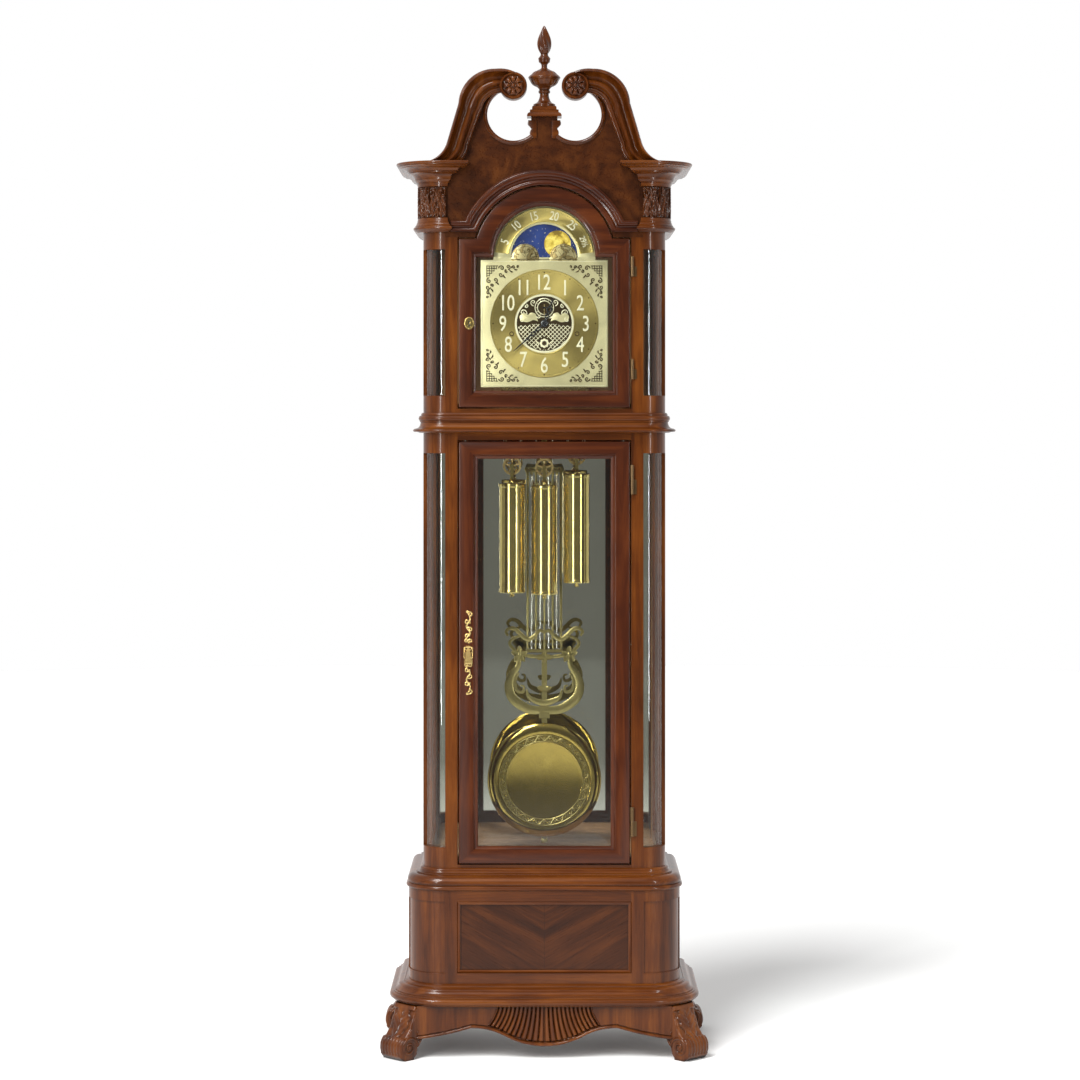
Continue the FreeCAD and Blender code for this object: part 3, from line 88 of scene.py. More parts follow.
FRONT = span("trunk_front_frame")[0][1]
AXIS_X = span("trunk_front_frame")[1][0]
CASE_RADIUS = 50
AXIS_Y = FRONT + CASE_RADIUS
BACK = span("back_panel")[1][1]
INNER = CASE_RADIUS - 20
SKIRT_Z, BASE_Z = span("base_moulding")[0][2], span("base_moulding")[1][2]
CAP_Z, TRUNK_Z = span("base_cap_moulding")[0][2], span("base_cap_moulding")[1][2]
WAIST_Z, HOOD_Z = span("waist_moulding")[0][2], span("waist_moulding")[1][2]
FRIEZE_Z, CORNICE_Z = span("frieze_blocks")[0][2], span("frieze_blocks")[1][2]
ROOF_Z = span("cornice")[1][2]
DOOR_Y = span("trunk_door_frame")[0][1]
DOOR_HALF = span("trunk_door_frame")[1][0]
TRUNK_DOOR = (span("trunk_door_frame")[0][2], span("trunk_door_frame")[1][2])
HOOD_DOOR_Z = span("hood_door_frame")[0][2]
HUB_RISE, ARCH_RISE = 197, 342.6
HUB_Z = HOOD_Z + HUB_RISE
ARCH_Z = HOOD_Z + ARCH_RISE
DIAL_DEPTH, CABLE_DEPTH, PENDULUM_DEPTH = 18, 90, 160
DIAL_Y = FRONT + DIAL_DEPTH
CABLE_Y = FRONT + CABLE_DEPTH
PEND_Y = FRONT + PENDULUM_DEPTH
WEIGHT_SPACING = 72
SIDES = {"left": -WEIGHT_SPACING, "middle": 0, "right": WEIGHT_SPACING}

# ---- mesh helpers -----------------------------------------------------------------------------


def finish_piece(obj, body, material, stands_for=(), smooth=32):
    """Material, smoothing and body of one piece."""
    materials = material if isinstance(material, (list, tuple)) else [material]
    for one in materials:
        obj.data.materials.append(one)
    if obj.type == "MESH" and smooth:
        obj.data.shade_smooth()
        keep_edges(obj.data, math.radians(smooth))
    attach(obj, body)
    if stands_for:
        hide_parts(*stands_for)
    return obj


def keep_edges(mesh, limit):
    """Leave edges sharper than the limit as hard edges."""
    mesh.set_sharp_from_angle(angle=limit)


def mesh_piece(name, verts, faces, body, material, stands_for=(), smooth=32, indices=None):
    mesh = bpy.data.meshes.new(name)
    mesh.from_pydata([(x * MM, y * MM, z * MM) for x, y, z in verts], [], faces)
    mesh.update()
    if indices is not None:
        for polygon, index in zip(mesh.polygons, indices):
            polygon.material_index = index
    obj = bpy.data.objects.new(name, mesh)
    bpy.context.collection.objects.link(obj)
    return finish_piece(obj, body, material, stands_for, smooth)


class Shell:
    """Gathers grids, caps and tubes into one mesh."""

    def __init__(self):
        self.verts = []
        self.faces = []
        self.marks = []

    def add(self, verts, faces, mark=0):
        base = len(self.verts)
        self.verts += [tuple(v) for v in verts]
        self.faces += [tuple(base + i for i in face) for face in faces]
        self.marks += [mark] * len(faces)

    def grid(self, rows, close_u=False, close_v=False, flip=False, caps=False, mark=0):
        """Rows of points joined into quads. close_u joins the last row to the first."""
        nu, nv = len(rows), len(rows[0])
        verts = [p for row in rows for p in row]
        faces = []
        for i in range(nu if close_u else nu - 1):
            for j in range(nv if close_v else nv - 1):
                a, b = i * nv + j, i * nv + (j + 1) % nv
                c, d = ((i + 1) % nu) * nv + (j + 1) % nv, ((i + 1) % nu) * nv + j
                faces.append((a, d, c, b) if flip else (a, b, c, d))
        if caps:
            first = list(range(nv))
            last = [(nu - 1) * nv + j for j in range(nv)]
            faces.append(tuple(first if flip else first[::-1]))
            faces.append(tuple(last[::-1] if flip else last))
        self.add(verts, faces, mark)

    def tube(self, points, radius, sides=10, mark=0):
        """A round bar along points, with a radius or one radius for each point."""
        radii = radius if isinstance(radius, (list, tuple)) else [radius] * len(points)
        pts = [Vector(p) for p in points]
        rows = []
        up = Vector((0.31, 0.17, 0.93))
        for i, p in enumerate(pts):
            ahead = pts[min(i + 1, len(pts) - 1)] - pts[max(i - 1, 0)]
            ahead.normalize()
            across = (up - ahead * up.dot(ahead)).normalized()
            other = ahead.cross(across)
            up = across
            ring = []
            for k in range(sides):
                angle = 2 * PI * k / sides
                ring.append(p + (across * math.cos(angle) + other * math.sin(angle)) * radii[i])
            rows.append(ring)
        self.grid(rows, close_v=True, caps=True, mark=mark)

    def block(self, low, high, bevel=1.0, mark=0):
        """A board with eased edges."""
        x0, y0, z0 = low
        x1, y1, z1 = high
        b = min(bevel, (x1 - x0) / 3, (y1 - y0) / 3, (z1 - z0) / 3)
        rows = []
        for z, inset in ((z0, b), (z0 + b, 0), (z1 - b, 0), (z1, b)):
            row = []
            for x, y, sx, sy in ((x0, y0, 1, 1), (x1, y0, -1, 1), (x1, y1, -1, -1), (x0, y1, 1, -1)):
                if sx * sy > 0:
                    row += [(x + sx * inset, y + sy * (b + inset), z),
                            (x + sx * (b + inset), y + sy * inset, z)]
                else:
                    row += [(x + sx * (b + inset), y + sy * inset, z),
                            (x + sx * inset, y + sy * (b + inset), z)]
            rows.append(row)
        self.grid(rows, close_v=True, caps=True, mark=mark)

    def lathe(self, profile, centre, axis="z", steps=64, shape=None, mark=0):
        """Turn (radius, height) points about an axis. shape changes a radius by angle and height."""
        cx, cy, cz = centre
        rows = []
        for k in range(steps):
            angle = 2 * PI * k / steps
            row = []
            for radius, high in profile:
                r = radius if shape is None else shape(radius, angle, high)
                u, v = r * math.cos(angle), r * math.sin(angle)
                if axis == "z":
                    row.append((cx + u, cy + v, cz + high))
                elif axis == "y":
                    row.append((cx + u, cy - high, cz + v))
                else:
                    row.append((cx + high, cy + u, cz + v))
            rows.append(row)
        self.grid(rows, close_u=True, flip=axis == "y", mark=mark)

    def piece(self, name, body, slot, material, stands_for=(), smooth=32):
        obj = mesh_piece(name, self.verts, self.faces, body, material, stands_for, 0, self.marks)
        tidy(obj.data)
        if smooth:
            obj.data.shade_smooth()
            keep_edges(obj.data, math.radians(smooth))
        return obj


def tidy(mesh):
    """Join doubled points, drop empty faces and turn every face outwards."""
    import bmesh
    work = bmesh.new()
    work.from_mesh(mesh)
    bmesh.ops.remove_doubles(work, verts=work.verts, dist=1e-6)
    bmesh.ops.dissolve_degenerate(work, dist=1e-7, edges=work.edges)
    bmesh.ops.recalc_face_normals(work, faces=work.faces)
    work.to_mesh(mesh)
    work.free()


def arc(start, end, radius, steps=8):
    """Points after start up to end on an arc. A positive radius turns left."""
    sx, sy = start
    ex, ey = end
    chord = math.hypot(ex - sx, ey - sy)
    bend = max(abs(radius), chord / 2)
    rise = math.sqrt(max(bend ** 2 - (chord / 2) ** 2, 0))
    side = 1 if radius > 0 else -1
    cx = (sx + ex) / 2 - side * rise * (ey - sy) / chord
    cy = (sy + ey) / 2 + side * rise * (ex - sx) / chord
    a0 = math.atan2(sy - cy, sx - cx)
    a1 = math.atan2(ey - cy, ex - cx)
    turn = (a1 - a0) % (2 * PI) if radius > 0 else -((a0 - a1) % (2 * PI))
    return [(cx + bend * math.cos(a0 + turn * k / steps), cy + bend * math.sin(a0 + turn * k / steps))
            for k in range(1, steps + 1)]


def outline(corners, steps=8):
    """Expand corners (u, v) or (u, v, radius) into points."""
    points = [tuple(corners[0][:2])]
    for corner in corners[1:]:
        if len(corner) == 3:
            points += arc(points[-1], corner[:2], corner[2], steps)
        else:
            points.append(tuple(corner))
    return points


def resample(points, count):
    """The same line with evenly spaced points."""
    pts = np.array(points, float)
    steps = np.hypot(*(pts[1:] - pts[:-1]).T) if pts.shape[1] == 2 else np.linalg.norm(pts[1:] - pts[:-1],
                                                                                       axis=1)
    along = np.concatenate([[0], np.cumsum(steps)])
    wanted = np.linspace(0, along[-1], count)
    return [tuple(np.interp(w, along, pts[:, k]) for k in range(pts.shape[1])) for w in wanted]


def smooth_line(points, count):
    """A Catmull-Rom line through the points, evenly spaced."""
    pts = [np.array(p, float) for p in points]
    pts = [2 * pts[0] - pts[1]] + pts + [2 * pts[-1] - pts[-2]]
    line = []
    for i in range(1, len(pts) - 2):
        a, b, c, d = pts[i - 1:i + 3]
        for k in range(12):
            t = k / 12
            line.append(0.5 * (2 * b + (c - a) * t + (2 * a - 5 * b + 4 * c - d) * t * t
                               + (3 * b - a - 3 * c + d) * t ** 3))
    line.append(pts[-2])
    return resample([tuple(p) for p in line], count)


def flat_piece(name, loops, y, thickness, body, material, bevel=0.3, stands_for=()):
    """A plate in the XZ plane with holes: loops of (x, z), from y towards the viewer."""
    curve = bpy.data.curves.new(name, "CURVE")
    curve.dimensions = "2D"
    curve.fill_mode = "BOTH"
    curve.extrude = max(thickness / 2 - bevel, 0.01) * MM
    curve.bevel_depth = bevel * MM
    curve.bevel_resolution = 1
    for loop in loops:
        spline = curve.splines.new("POLY")
        spline.points.add(len(loop) - 1)
        for point, (x, z) in zip(spline.points, loop):
            point.co = (x * MM, z * MM, 0, 1)
        spline.use_cyclic_u = True
    obj = bpy.data.objects.new(name, curve)
    bpy.context.collection.objects.link(obj)
    obj.matrix_world = Matrix.Translation((0, (y - thickness / 2) * MM, 0)) @ Matrix.Rotation(PI / 2, 4, "X")
    bpy.context.view_layer.update()
    mesh = bpy.data.meshes.new_from_object(obj.evaluated_get(bpy.context.evaluated_depsgraph_get()))
    mesh.transform(obj.matrix_world)
    bpy.data.objects.remove(obj)
    bpy.data.curves.remove(curve)
    mesh.materials.clear()
    solid = bpy.data.objects.new(name, mesh)
    bpy.context.collection.objects.link(solid)
    tidy(mesh)
    return finish_piece(solid, body, material, stands_for)


def ring_loop(x, z, radius, steps=48):
    return [(x + radius * math.cos(2 * PI * k / steps), z + radius * math.sin(2 * PI * k / steps))
            for k in range(steps)]


def spiral(x, z, start, end, a0, turns, count=40):
    """Points of a spiral about (x, z): radii from start to end, from angle a0, through turns."""
    line = []
    for k in range(count):
        t = k / (count - 1)
        r = start * (end / start) ** t
        a = a0 + 2 * PI * turns * t
        line.append((x + r * math.cos(a), z + r * math.sin(a)))
    return line


# ---- materials --------------------------------------------------------------------------------


class Paint:
    """Builds one node material."""

    def __init__(self, name):
        self.material = bpy.data.materials.new(name)
        self.material.use_nodes = True
        self.nodes = self.material.node_tree.nodes
        self.links = self.material.node_tree.links
        self.shader = self.nodes["Principled BSDF"]
        self.coords = self.nodes.new("ShaderNodeTexCoord").outputs["Object"]

    def node(self, kind, **values):
        made = self.nodes.new(kind)
        for key, value in values.items():
            if hasattr(made, key):
                setattr(made, key, value)
            else:
                made.inputs[key.replace("_", " ")].default_value = value
        return made

    def wire(self, start, end):
        self.links.new(start, end)

    def mapped(self, scale, rotation=(0, 0, 0), source=None):
        mapping = self.node("ShaderNodeMapping")
        mapping.inputs["Scale"].default_value = scale
        mapping.inputs["Rotation"].default_value = rotation
        self.wire(source or self.coords, mapping.inputs["Vector"])
        return mapping.outputs["Vector"]

    def noise(self, vector, scale=1, detail=4, distortion=0, roughness=0.5):
        made = self.node("ShaderNodeTexNoise")
        made.inputs["Scale"].default_value = scale
        made.inputs["Detail"].default_value = detail
        made.inputs["Roughness"].default_value = roughness
        made.inputs["Distortion"].default_value = distortion
        self.wire(vector, made.inputs["Vector"])
        return made.outputs["Fac"]

    def ramp(self, value, stops):
        made = self.node("ShaderNodeValToRGB")
        ramp = made.color_ramp
        while len(ramp.elements) < len(stops):
            ramp.elements.new(0.5)
        for element, (place, colour) in zip(ramp.elements, stops):
            element.position = place
            element.color = tuple(colour) + (1,) if len(colour) == 3 else colour
        self.wire(value, made.inputs["Fac"])
        return made.outputs["Color"]

    def grey(self, value, low, high, start=0.0, end=1.0):
        made = self.node("ShaderNodeMapRange")
        for key, number in (("From Min", start), ("From Max", end), ("To Min", low), ("To Max", high)):
            made.inputs[key].default_value = number
        self.wire(value, made.inputs["Value"])
        return made.outputs["Result"]

    def math(self, kind, a, b=0.0, c=0.0):
        made = self.node("ShaderNodeMath", operation=kind)
        for socket, value in zip(made.inputs, (a, b, c)):
            if hasattr(value, "is_output"):
                self.wire(value, socket)
            else:
                socket.default_value = value
        return made.outputs[0]

    def mix(self, fac, a, b, kind="MIX"):
        made = self.node("ShaderNodeMix", data_type="RGBA", blend_type=kind)
        for socket, value in ((made.inputs[0], fac), (made.inputs[6], a), (made.inputs[7], b)):
            if hasattr(value, "is_output"):
                self.wire(value, socket)
            elif isinstance(value, (int, float)):
                socket.default_value = value
            else:
                socket.default_value = tuple(value) + (1,)
        return made.outputs[2]

    def bump(self, height, strength, distance=0.0005):
        made = self.node("ShaderNodeBump")
        made.inputs["Strength"].default_value = strength
        made.inputs["Distance"].default_value = distance
        self.wire(height, made.inputs["Height"])
        self.wire(made.outputs["Normal"], self.shader.inputs["Normal"])

    def split(self, vector=None):
        made = self.node("ShaderNodeSeparateXYZ")
        self.wire(vector or self.coords, made.inputs[0])
        return made.outputs

    def set(self, **values):
        for key, value in values.items():
            self.shader.inputs[key.replace("_", " ")].default_value = value


GRAIN = {"x": (4, 62, 62), "y": (62, 4, 62), "z": (62, 62, 4)}


def wood_colour(paint, vector, dark, mid, light, figure=0.5):
    """Grain from stretched noise, fine pores and a slow change of tone."""
    broad = paint.noise(vector, 0.55, 5, 1.6 * figure + 0.2, 0.55)
    fine = paint.noise(vector, 4.5, 6, 0.3, 0.7)
    slow = paint.noise(paint.coords, 5, 3, 0.5)
    value = paint.math("ADD", paint.math("MULTIPLY", broad, 0.62), paint.math("MULTIPLY", fine, 0.24))
    value = paint.math("ADD", value, paint.math("MULTIPLY", slow, 0.3))
    return paint.ramp(value, [(0.38, dark), (0.56, mid), (0.78, light)]), fine


def wood(name, dark, mid, light, axis="z", switch=None, shade_reach=0.0, gloss=0.3, figure=0.5):
    """Lacquered timber, with painted shade darkening its hollows when a reach is given. switch=(axis, edge)
    turns the grain along X inside |coordinate| < edge.
    """
    paint = Paint(name)
    colour, fine = wood_colour(paint, paint.mapped(GRAIN[axis]), dark, mid, light, figure)
    if switch is not None:
        other, _ = wood_colour(paint, paint.mapped(GRAIN["x"]), dark, mid, light, figure)
        place = paint.split()[0 if switch[0] == "x" else 2]
        beyond = paint.math("GREATER_THAN", paint.math("ABSOLUTE", place), switch[1] * MM)
        colour = paint.mix(beyond, other, colour)
    # Painted shade: the base colour darkens towards a fifth of the dark tone where the ambient-occlusion node
    # finds surfaces close by, in hollows and creases.
    if shade_reach:
        shade = paint.node("ShaderNodeAmbientOcclusion", samples=4)
        shade.inputs["Distance"].default_value = shade_reach * MM
        deep = paint.grey(shade.outputs["AO"], 0.0, 1.0, 0.35, 0.92)
        colour = paint.mix(deep, [c * 0.22 for c in dark], colour)
    paint.wire(colour, paint.shader.inputs["Base Color"])
    paint.wire(paint.grey(fine, gloss - 0.05, gloss + 0.11), paint.shader.inputs["Roughness"])
    paint.set(Coat_Weight=0.32, Coat_Roughness=0.1, Coat_IOR=1.45, Specular_IOR_Level=0.14)
    paint.bump(fine, 0.12, 0.0004)
    return paint.material


ORANGE = ((0.022, 0.0044, 0.0006), (0.072, 0.0168, 0.0014), (0.155, 0.044, 0.0045))
RED = ((0.016, 0.0032, 0.0010), (0.042, 0.0085, 0.0020), (0.090, 0.021, 0.004))
BURL = ((0.014, 0.0034, 0.0010), (0.040, 0.0100, 0.0020), (0.080, 0.023, 0.0045))
CARVED = ((0.024, 0.0055, 0.0010), (0.068, 0.0170, 0.0025), (0.145, 0.043, 0.007))
PLAIN = ((0.12, 0.055, 0.022), (0.22, 0.11, 0.048), (0.33, 0.18, 0.085))

case_wood = wood("case_wood", *ORANGE, axis="z")
case_cross = wood("case_wood_cross", *ORANGE, axis="x")
case_frame = wood("case_wood_frame", *ORANGE, axis="z", switch=("x", 190.5))
# The carved woods get painted shade in their hollows (ambient-occlusion darkening).
carved_wood = wood("carved_wood", *CARVED, axis="z", shade_reach=7, gloss=0.36)
carved_case = wood("carved_case_wood", *ORANGE, axis="z", shade_reach=9, gloss=0.33)
door_wood = wood("door_wood", *RED, axis="z", figure=0.9)
door_cross = wood("door_wood_cross", *RED, axis="x", figure=0.9)
inner_wood = wood("inner_wood", *PLAIN, axis="z", gloss=0.5)


def burl():
    """Swirled veneer with eyes."""
    paint = Paint("burl_veneer")
    swirl = paint.noise(paint.mapped((9, 9, 9)), 1.2, 6, 2.4, 0.6)
    eyes = paint.node("ShaderNodeTexVoronoi", feature="SMOOTH_F1")
    eyes.inputs["Scale"].default_value = 46
    paint.wire(paint.coords, eyes.inputs["Vector"])
    fine = paint.noise(paint.mapped((90, 90, 90)), 1.5, 4, 1.5)
    value = paint.math("ADD", paint.math("MULTIPLY", swirl, 0.7), paint.math("MULTIPLY", fine, 0.22))
    value = paint.math("ADD", value, paint.math("MULTIPLY", eyes.outputs["Distance"], 0.18))
    paint.wire(paint.ramp(value, [(0.34, BURL[0]), (0.52, BURL[1]), (0.74, BURL[2])]),
               paint.shader.inputs["Base Color"])
    paint.wire(paint.grey(fine, 0.22, 0.36), paint.shader.inputs["Roughness"])
    paint.set(Coat_Weight=0.28, Coat_Roughness=0.12, Specular_IOR_Level=0.14)
    paint.bump(fine, 0.1, 0.0003)
    return paint.material


def chevron():
    """Book-matched veneer: two sheets whose grain falls towards the middle in a V."""
    paint = Paint("chevron_veneer")
    x, _, z = paint.split()
    folded = paint.math("ABSOLUTE", x)
    across = paint.math("SUBTRACT", z, paint.math("MULTIPLY", folded, 0.55))
    along = paint.math("ADD", folded, paint.math("MULTIPLY", z, 0.55))
    joined = paint.node("ShaderNodeCombineXYZ")
    paint.wire(paint.math("MULTIPLY", along, 5), joined.inputs[0])
    paint.wire(paint.math("MULTIPLY", across, 62), joined.inputs[1])
    colour, fine = wood_colour(paint, joined.outputs[0], (0.012, 0.003, 0.0008),
                               (0.036, 0.009, 0.0018), (0.085, 0.023, 0.004), 0.5)
    seam = paint.math("LESS_THAN", folded, 0.0005)
    colour = paint.mix(paint.math("MULTIPLY", seam, 0.6), colour, (0.012, 0.004, 0.002))
    paint.wire(colour, paint.shader.inputs["Base Color"])
    paint.wire(paint.grey(fine, 0.22, 0.36), paint.shader.inputs["Roughness"])
    paint.set(Coat_Weight=0.22, Coat_Roughness=0.12, Specular_IOR_Level=0.12)
    paint.bump(fine, 0.1, 0.0003)
    return paint.material


def brass(name, colour, rough, brush=None, wear=0.18, shade_reach=0.0, solid=0.0):
    """Polished or satin brass with faint smears, brushed along one axis or round a hub, with painted shade
    darkening its hollows when a reach is given.
    """
    paint = Paint(name)
    smear = paint.noise(paint.mapped((14, 14, 14)), 1, 5, 0.8)
    dim = [c * (1 - wear) for c in colour]
    tone = paint.mix(paint.grey(smear, 0, 1, 0.35, 0.7), dim, colour)
    # Painted shade: the tone darkens towards an eighth of the colour where the ambient-occlusion node finds
    # surfaces close by, in hollows.
    if shade_reach:
        shade = paint.node("ShaderNodeAmbientOcclusion", samples=4)
        shade.inputs["Distance"].default_value = shade_reach * MM
        tone = paint.mix(paint.grey(shade.outputs["AO"], 0, 1, 0.3, 0.9), [c * 0.12 for c in colour], tone)
    paint.wire(tone, paint.shader.inputs["Base Color"])
    if brush == "round":
        x, _, z = paint.split()
        z = paint.math("SUBTRACT", z, HUB_Z * MM)
        radius = paint.math("SQRT", paint.math("ADD", paint.math("MULTIPLY", x, x),
                                               paint.math("MULTIPLY", z, z)))
        line = paint.node("ShaderNodeCombineXYZ")
        paint.wire(paint.math("MULTIPLY", radius, 900), line.inputs[0])
        streak = paint.noise(line.outputs[0], 1, 2)
        sheen = paint.node("ShaderNodeTangent", direction_type="RADIAL", axis="Y")
        paint.wire(sheen.outputs[0], paint.shader.inputs["Tangent"])
        paint.set(Anisotropic=0.9)
    elif brush is not None:
        scale = [700, 700, 700]
        scale["xyz".index(brush)] = 8
        streak = paint.noise(paint.mapped(scale), 1, 2)
    else:
        streak = paint.noise(paint.mapped((260, 260, 260)), 1, 2)
    paint.wire(paint.grey(streak, rough * 0.75, rough * 1.3), paint.shader.inputs["Roughness"])
    paint.set(Metallic=1.0 - solid)
    if brush is not None:
        paint.bump(streak, 0.12, 0.0001)
    return paint.material


dial_brass = brass("dial_brass", (0.84, 0.74, 0.42), 0.34, "x", solid=0.3)
ring_brass = brass("ring_brass", (0.62, 0.47, 0.15), 0.30, "round", solid=0.06)
polished = brass("polished_brass", (0.58, 0.44, 0.15), 0.14, "z", solid=0.05)
bob_brass = brass("bob_brass", (0.42, 0.30, 0.075), 0.12, solid=0.03)
lyre_brass = brass("lyre_brass", (0.34, 0.275, 0.105), 0.30, solid=0.10)
movement_brass = brass("movement_brass", (0.70, 0.50, 0.20), 0.28, solid=0.15)
# The fittings' brass has painted shade in its hollows (ambient-occlusion darkening).
fitting_brass = brass("fitting_brass", (0.74, 0.53, 0.20), 0.24, shade_reach=3, solid=0.2)
dark_brass = brass("dark_brass", (0.075, 0.048, 0.022), 0.38)
numeral_brass = brass("numeral_brass", (0.95, 0.87, 0.60), 0.38, solid=0.55)
hinge_bronze = brass("hinge_bronze", (0.16, 0.10, 0.05), 0.34)
chime_steel = brass("chime_steel", (0.56, 0.56, 0.58), 0.28, "z")
cable_steel = brass("cable_steel", (0.62, 0.58, 0.48), 0.34)
rod_steel = brass("rod_steel", (0.66, 0.63, 0.56), 0.2, "z")


def lacquer(name, colour, rough, fleck=0.3):
    paint = Paint(name)
    speck = paint.noise(paint.mapped((120, 120, 120)), 1, 3)
    paint.wire(paint.mix(speck, colour, [c * (1 + fleck) for c in colour]), paint.shader.inputs["Base Color"])
    paint.wire(paint.grey(speck, rough * 0.8, rough * 1.3), paint.shader.inputs["Roughness"])
    paint.set(Coat_Weight=0.4, Coat_Roughness=0.1)
    return paint.material


black_steel = lacquer("black_steel", (0.012, 0.012, 0.014), 0.25)


def mirror():
    paint = Paint("mirror")
    haze = paint.noise(paint.mapped((5, 5, 5)), 1, 4)
    paint.wire(paint.mix(haze, (0.74, 0.71, 0.62), (0.92, 0.89, 0.80)), paint.shader.inputs["Base Color"])
    paint.wire(paint.grey(haze, 0.015, 0.05), paint.shader.inputs["Roughness"])
    paint.set(Metallic=1.0)
    return paint.material


def glass(name, tint):
    """Clear glass: reflection by angle over a faint tint."""
    paint = Paint(name)
    paint.nodes.remove(paint.shader)
    clear = paint.node("ShaderNodeBsdfTransparent")
    gloss = paint.node("ShaderNodeBsdfGlossy")
    mist = paint.noise(paint.mapped((6, 6, 6)), 1, 3)
    paint.wire(paint.mix(mist, tint, [min(1, c * 1.02) for c in tint]), clear.inputs["Color"])
    paint.wire(paint.grey(mist, 0.01, 0.04), gloss.inputs["Roughness"])
    edge = paint.node("ShaderNodeLayerWeight")
    grazing = paint.math("POWER", edge.outputs["Facing"], 5)
    mixed = paint.node("ShaderNodeMixShader")
    paint.wire(paint.math("ADD", paint.math("MULTIPLY", grazing, 0.9), 0.04), mixed.inputs[0])
    paint.wire(clear.outputs[0], mixed.inputs[1])
    paint.wire(gloss.outputs[0], mixed.inputs[2])
    paint.wire(mixed.outputs[0], paint.nodes["Material Output"].inputs["Surface"])
    return paint.material


burl_wood = burl()
veneer = chevron()
mirror_glass = mirror()
clear_glass = glass("case_glass", (0.95, 0.97, 0.96))

# ---- mouldings --------------------------------------------------------------------------------


def u_rows(profile):
    """Carry a profile of (reach, height) round both sides and the front."""
    rows = []
    stops = [(1, None)] + [(1, 90 * k / 18) for k in range(19)]
    stops += [(-1, 90 - 90 * k / 18) for k in range(19)] + [(-1, None)]
    for side, angle in stops:
        row = []
        for reach, z in profile:
            if angle is None:
                row.append((side * (AXIS_X + reach), BACK, z))
            else:
                turn = math.radians(angle)
                row.append((side * (AXIS_X + reach * math.cos(turn)), AXIS_Y - reach * math.sin(turn), z))
        rows.append(row)
    return rows


def u_moulding(name, profile, slot, material, stands_for):
    shell = Shell()
    shell.grid(u_rows(outline(profile)), close_v=True, caps=True)
    return shell.piece(name, "case", slot, material, stands_for, 40)


def mouldings():
    low, top = SKIRT_Z, BASE_Z
    u_moulding("skirt_moulding", [
        (62, low), (116, low), (118, low + 2), (118, low + 3), (124, low + 10, 6.5), (118, low + 17.5, 7),
        (116, low + 18), (116, low + 20.5), (112, low + 21), (112, low + 23), (104, low + 34, -13),
        (95, low + 38, 14), (93, low + 39), (93, low + 41.5), (89, top - 2, 3), (86, top), (62, top)],
        "case_wood", case_cross, ["base_moulding"])
    low, top = CAP_Z, TRUNK_Z
    u_moulding("cap_moulding", [
        (INNER, low), (82, low), (83, low + 0.5), (87.5, low + 5, 5), (85, low + 10, 5.5), (82, low + 11),
        (82, low + 13.5), (84.5, low + 14), (84.5, low + 16), (82, low + 24, 12), (67, low + 31.5, 15),
        (65, low + 32), (65, low + 35), (61, low + 36), (58, low + 37, -3), (57, low + 41), (54, top - 1, 4),
        (53, top), (INNER, top)], "case_wood", case_cross, ["base_cap_moulding"])
    low, top = WAIST_Z, HOOD_Z
    u_moulding("waist_moulding_detail", [
        (INNER, low), (55, low), (62, low + 1.5, 7), (70, low + 2), (73, low + 5, 3.2), (70.5, low + 8, 3.6),
        (69, low + 9), (66, low + 9.5), (57, low + 19, -11), (56, low + 23), (58, low + 24),
        (58, low + 26.5), (60, low + 29, 3), (60, low + 34, 5), (57, low + 37.5, 4), (55, low + 38),
        (54, top - 1.5, 5), (53, top), (INNER, top)], "case_wood", case_cross, ["waist_moulding"])


def return_rows(profile, side, start):
    """A profile round one side whose front end turns back to the pediment in a mitre."""
    rows = []
    for place in ["face", "mitre"] + [90 - 5 * k for k in range(19)] + ["back"]:
        row = []
        for reach, z in profile:
            end = start - reach
            if place == "face":
                row.append((side * end, FRONT, z))
            elif place == "mitre":
                row.append((side * end, AXIS_Y - reach, z))
            elif place == "back":
                row.append((side * (AXIS_X + reach), BACK, z))
            else:
                turn = math.radians(place)
                row.append((side * (AXIS_X + reach * math.cos(turn)), AXIS_Y - reach * math.sin(turn), z))
        rows.append(row)
    return rows


FRIEZE_END = AXIS_X - 6


def cornices():
    low, top = CORNICE_Z, ROOF_Z
    profile = outline([
        (57, low), (63, low), (65, low + 1), (66, low + 4, -4), (69, low + 7), (69, low + 9),
        (79, low + 21, -13), (82, low + 22), (82, low + 24.5), (85, low + 25), (96, low + 33, -11),
        (101, low + 35, 5), (103, low + 36), (106, low + 37), (106, low + 39), (109.5, low + 42, 3.2),
        (108, top, 2.4), (57, top)])
    shell = Shell()
    for side in (1, -1):
        shell.grid(return_rows(profile, side, FRIEZE_END + 63), close_v=True, caps=True)
    shell.piece("cornice_mouldings", "case", "case_wood", case_cross, ["cornice"], 40)
    low = FRIEZE_Z
    bead = outline([
        (50, low), (64, low), (67, low + 2, -3), (70, low + 5), (72, low + 8.5, 3.6), (70, low + 12, 3.6),
        (68, low + 13), (68, low + 15), (65, low + 21, -7), (63.5, low + 22), (63.5, low + 25),
        (62.5, low + 28), (62.5, low + 31), (57, low + 31.2), (57, CORNICE_Z - 8.2), (62.5, CORNICE_Z - 8),
        (62.5, CORNICE_Z - 4), (63, CORNICE_Z - 3), (63, CORNICE_Z), (50, CORNICE_Z)])
    shell = Shell()
    for side in (1, -1):
        shell.grid(return_rows(bead, side, FRIEZE_END + 63), close_v=True, caps=True)
    shell.piece("frieze_mouldings", "case", "carved_wood", case_cross, ["frieze_blocks"], 40)


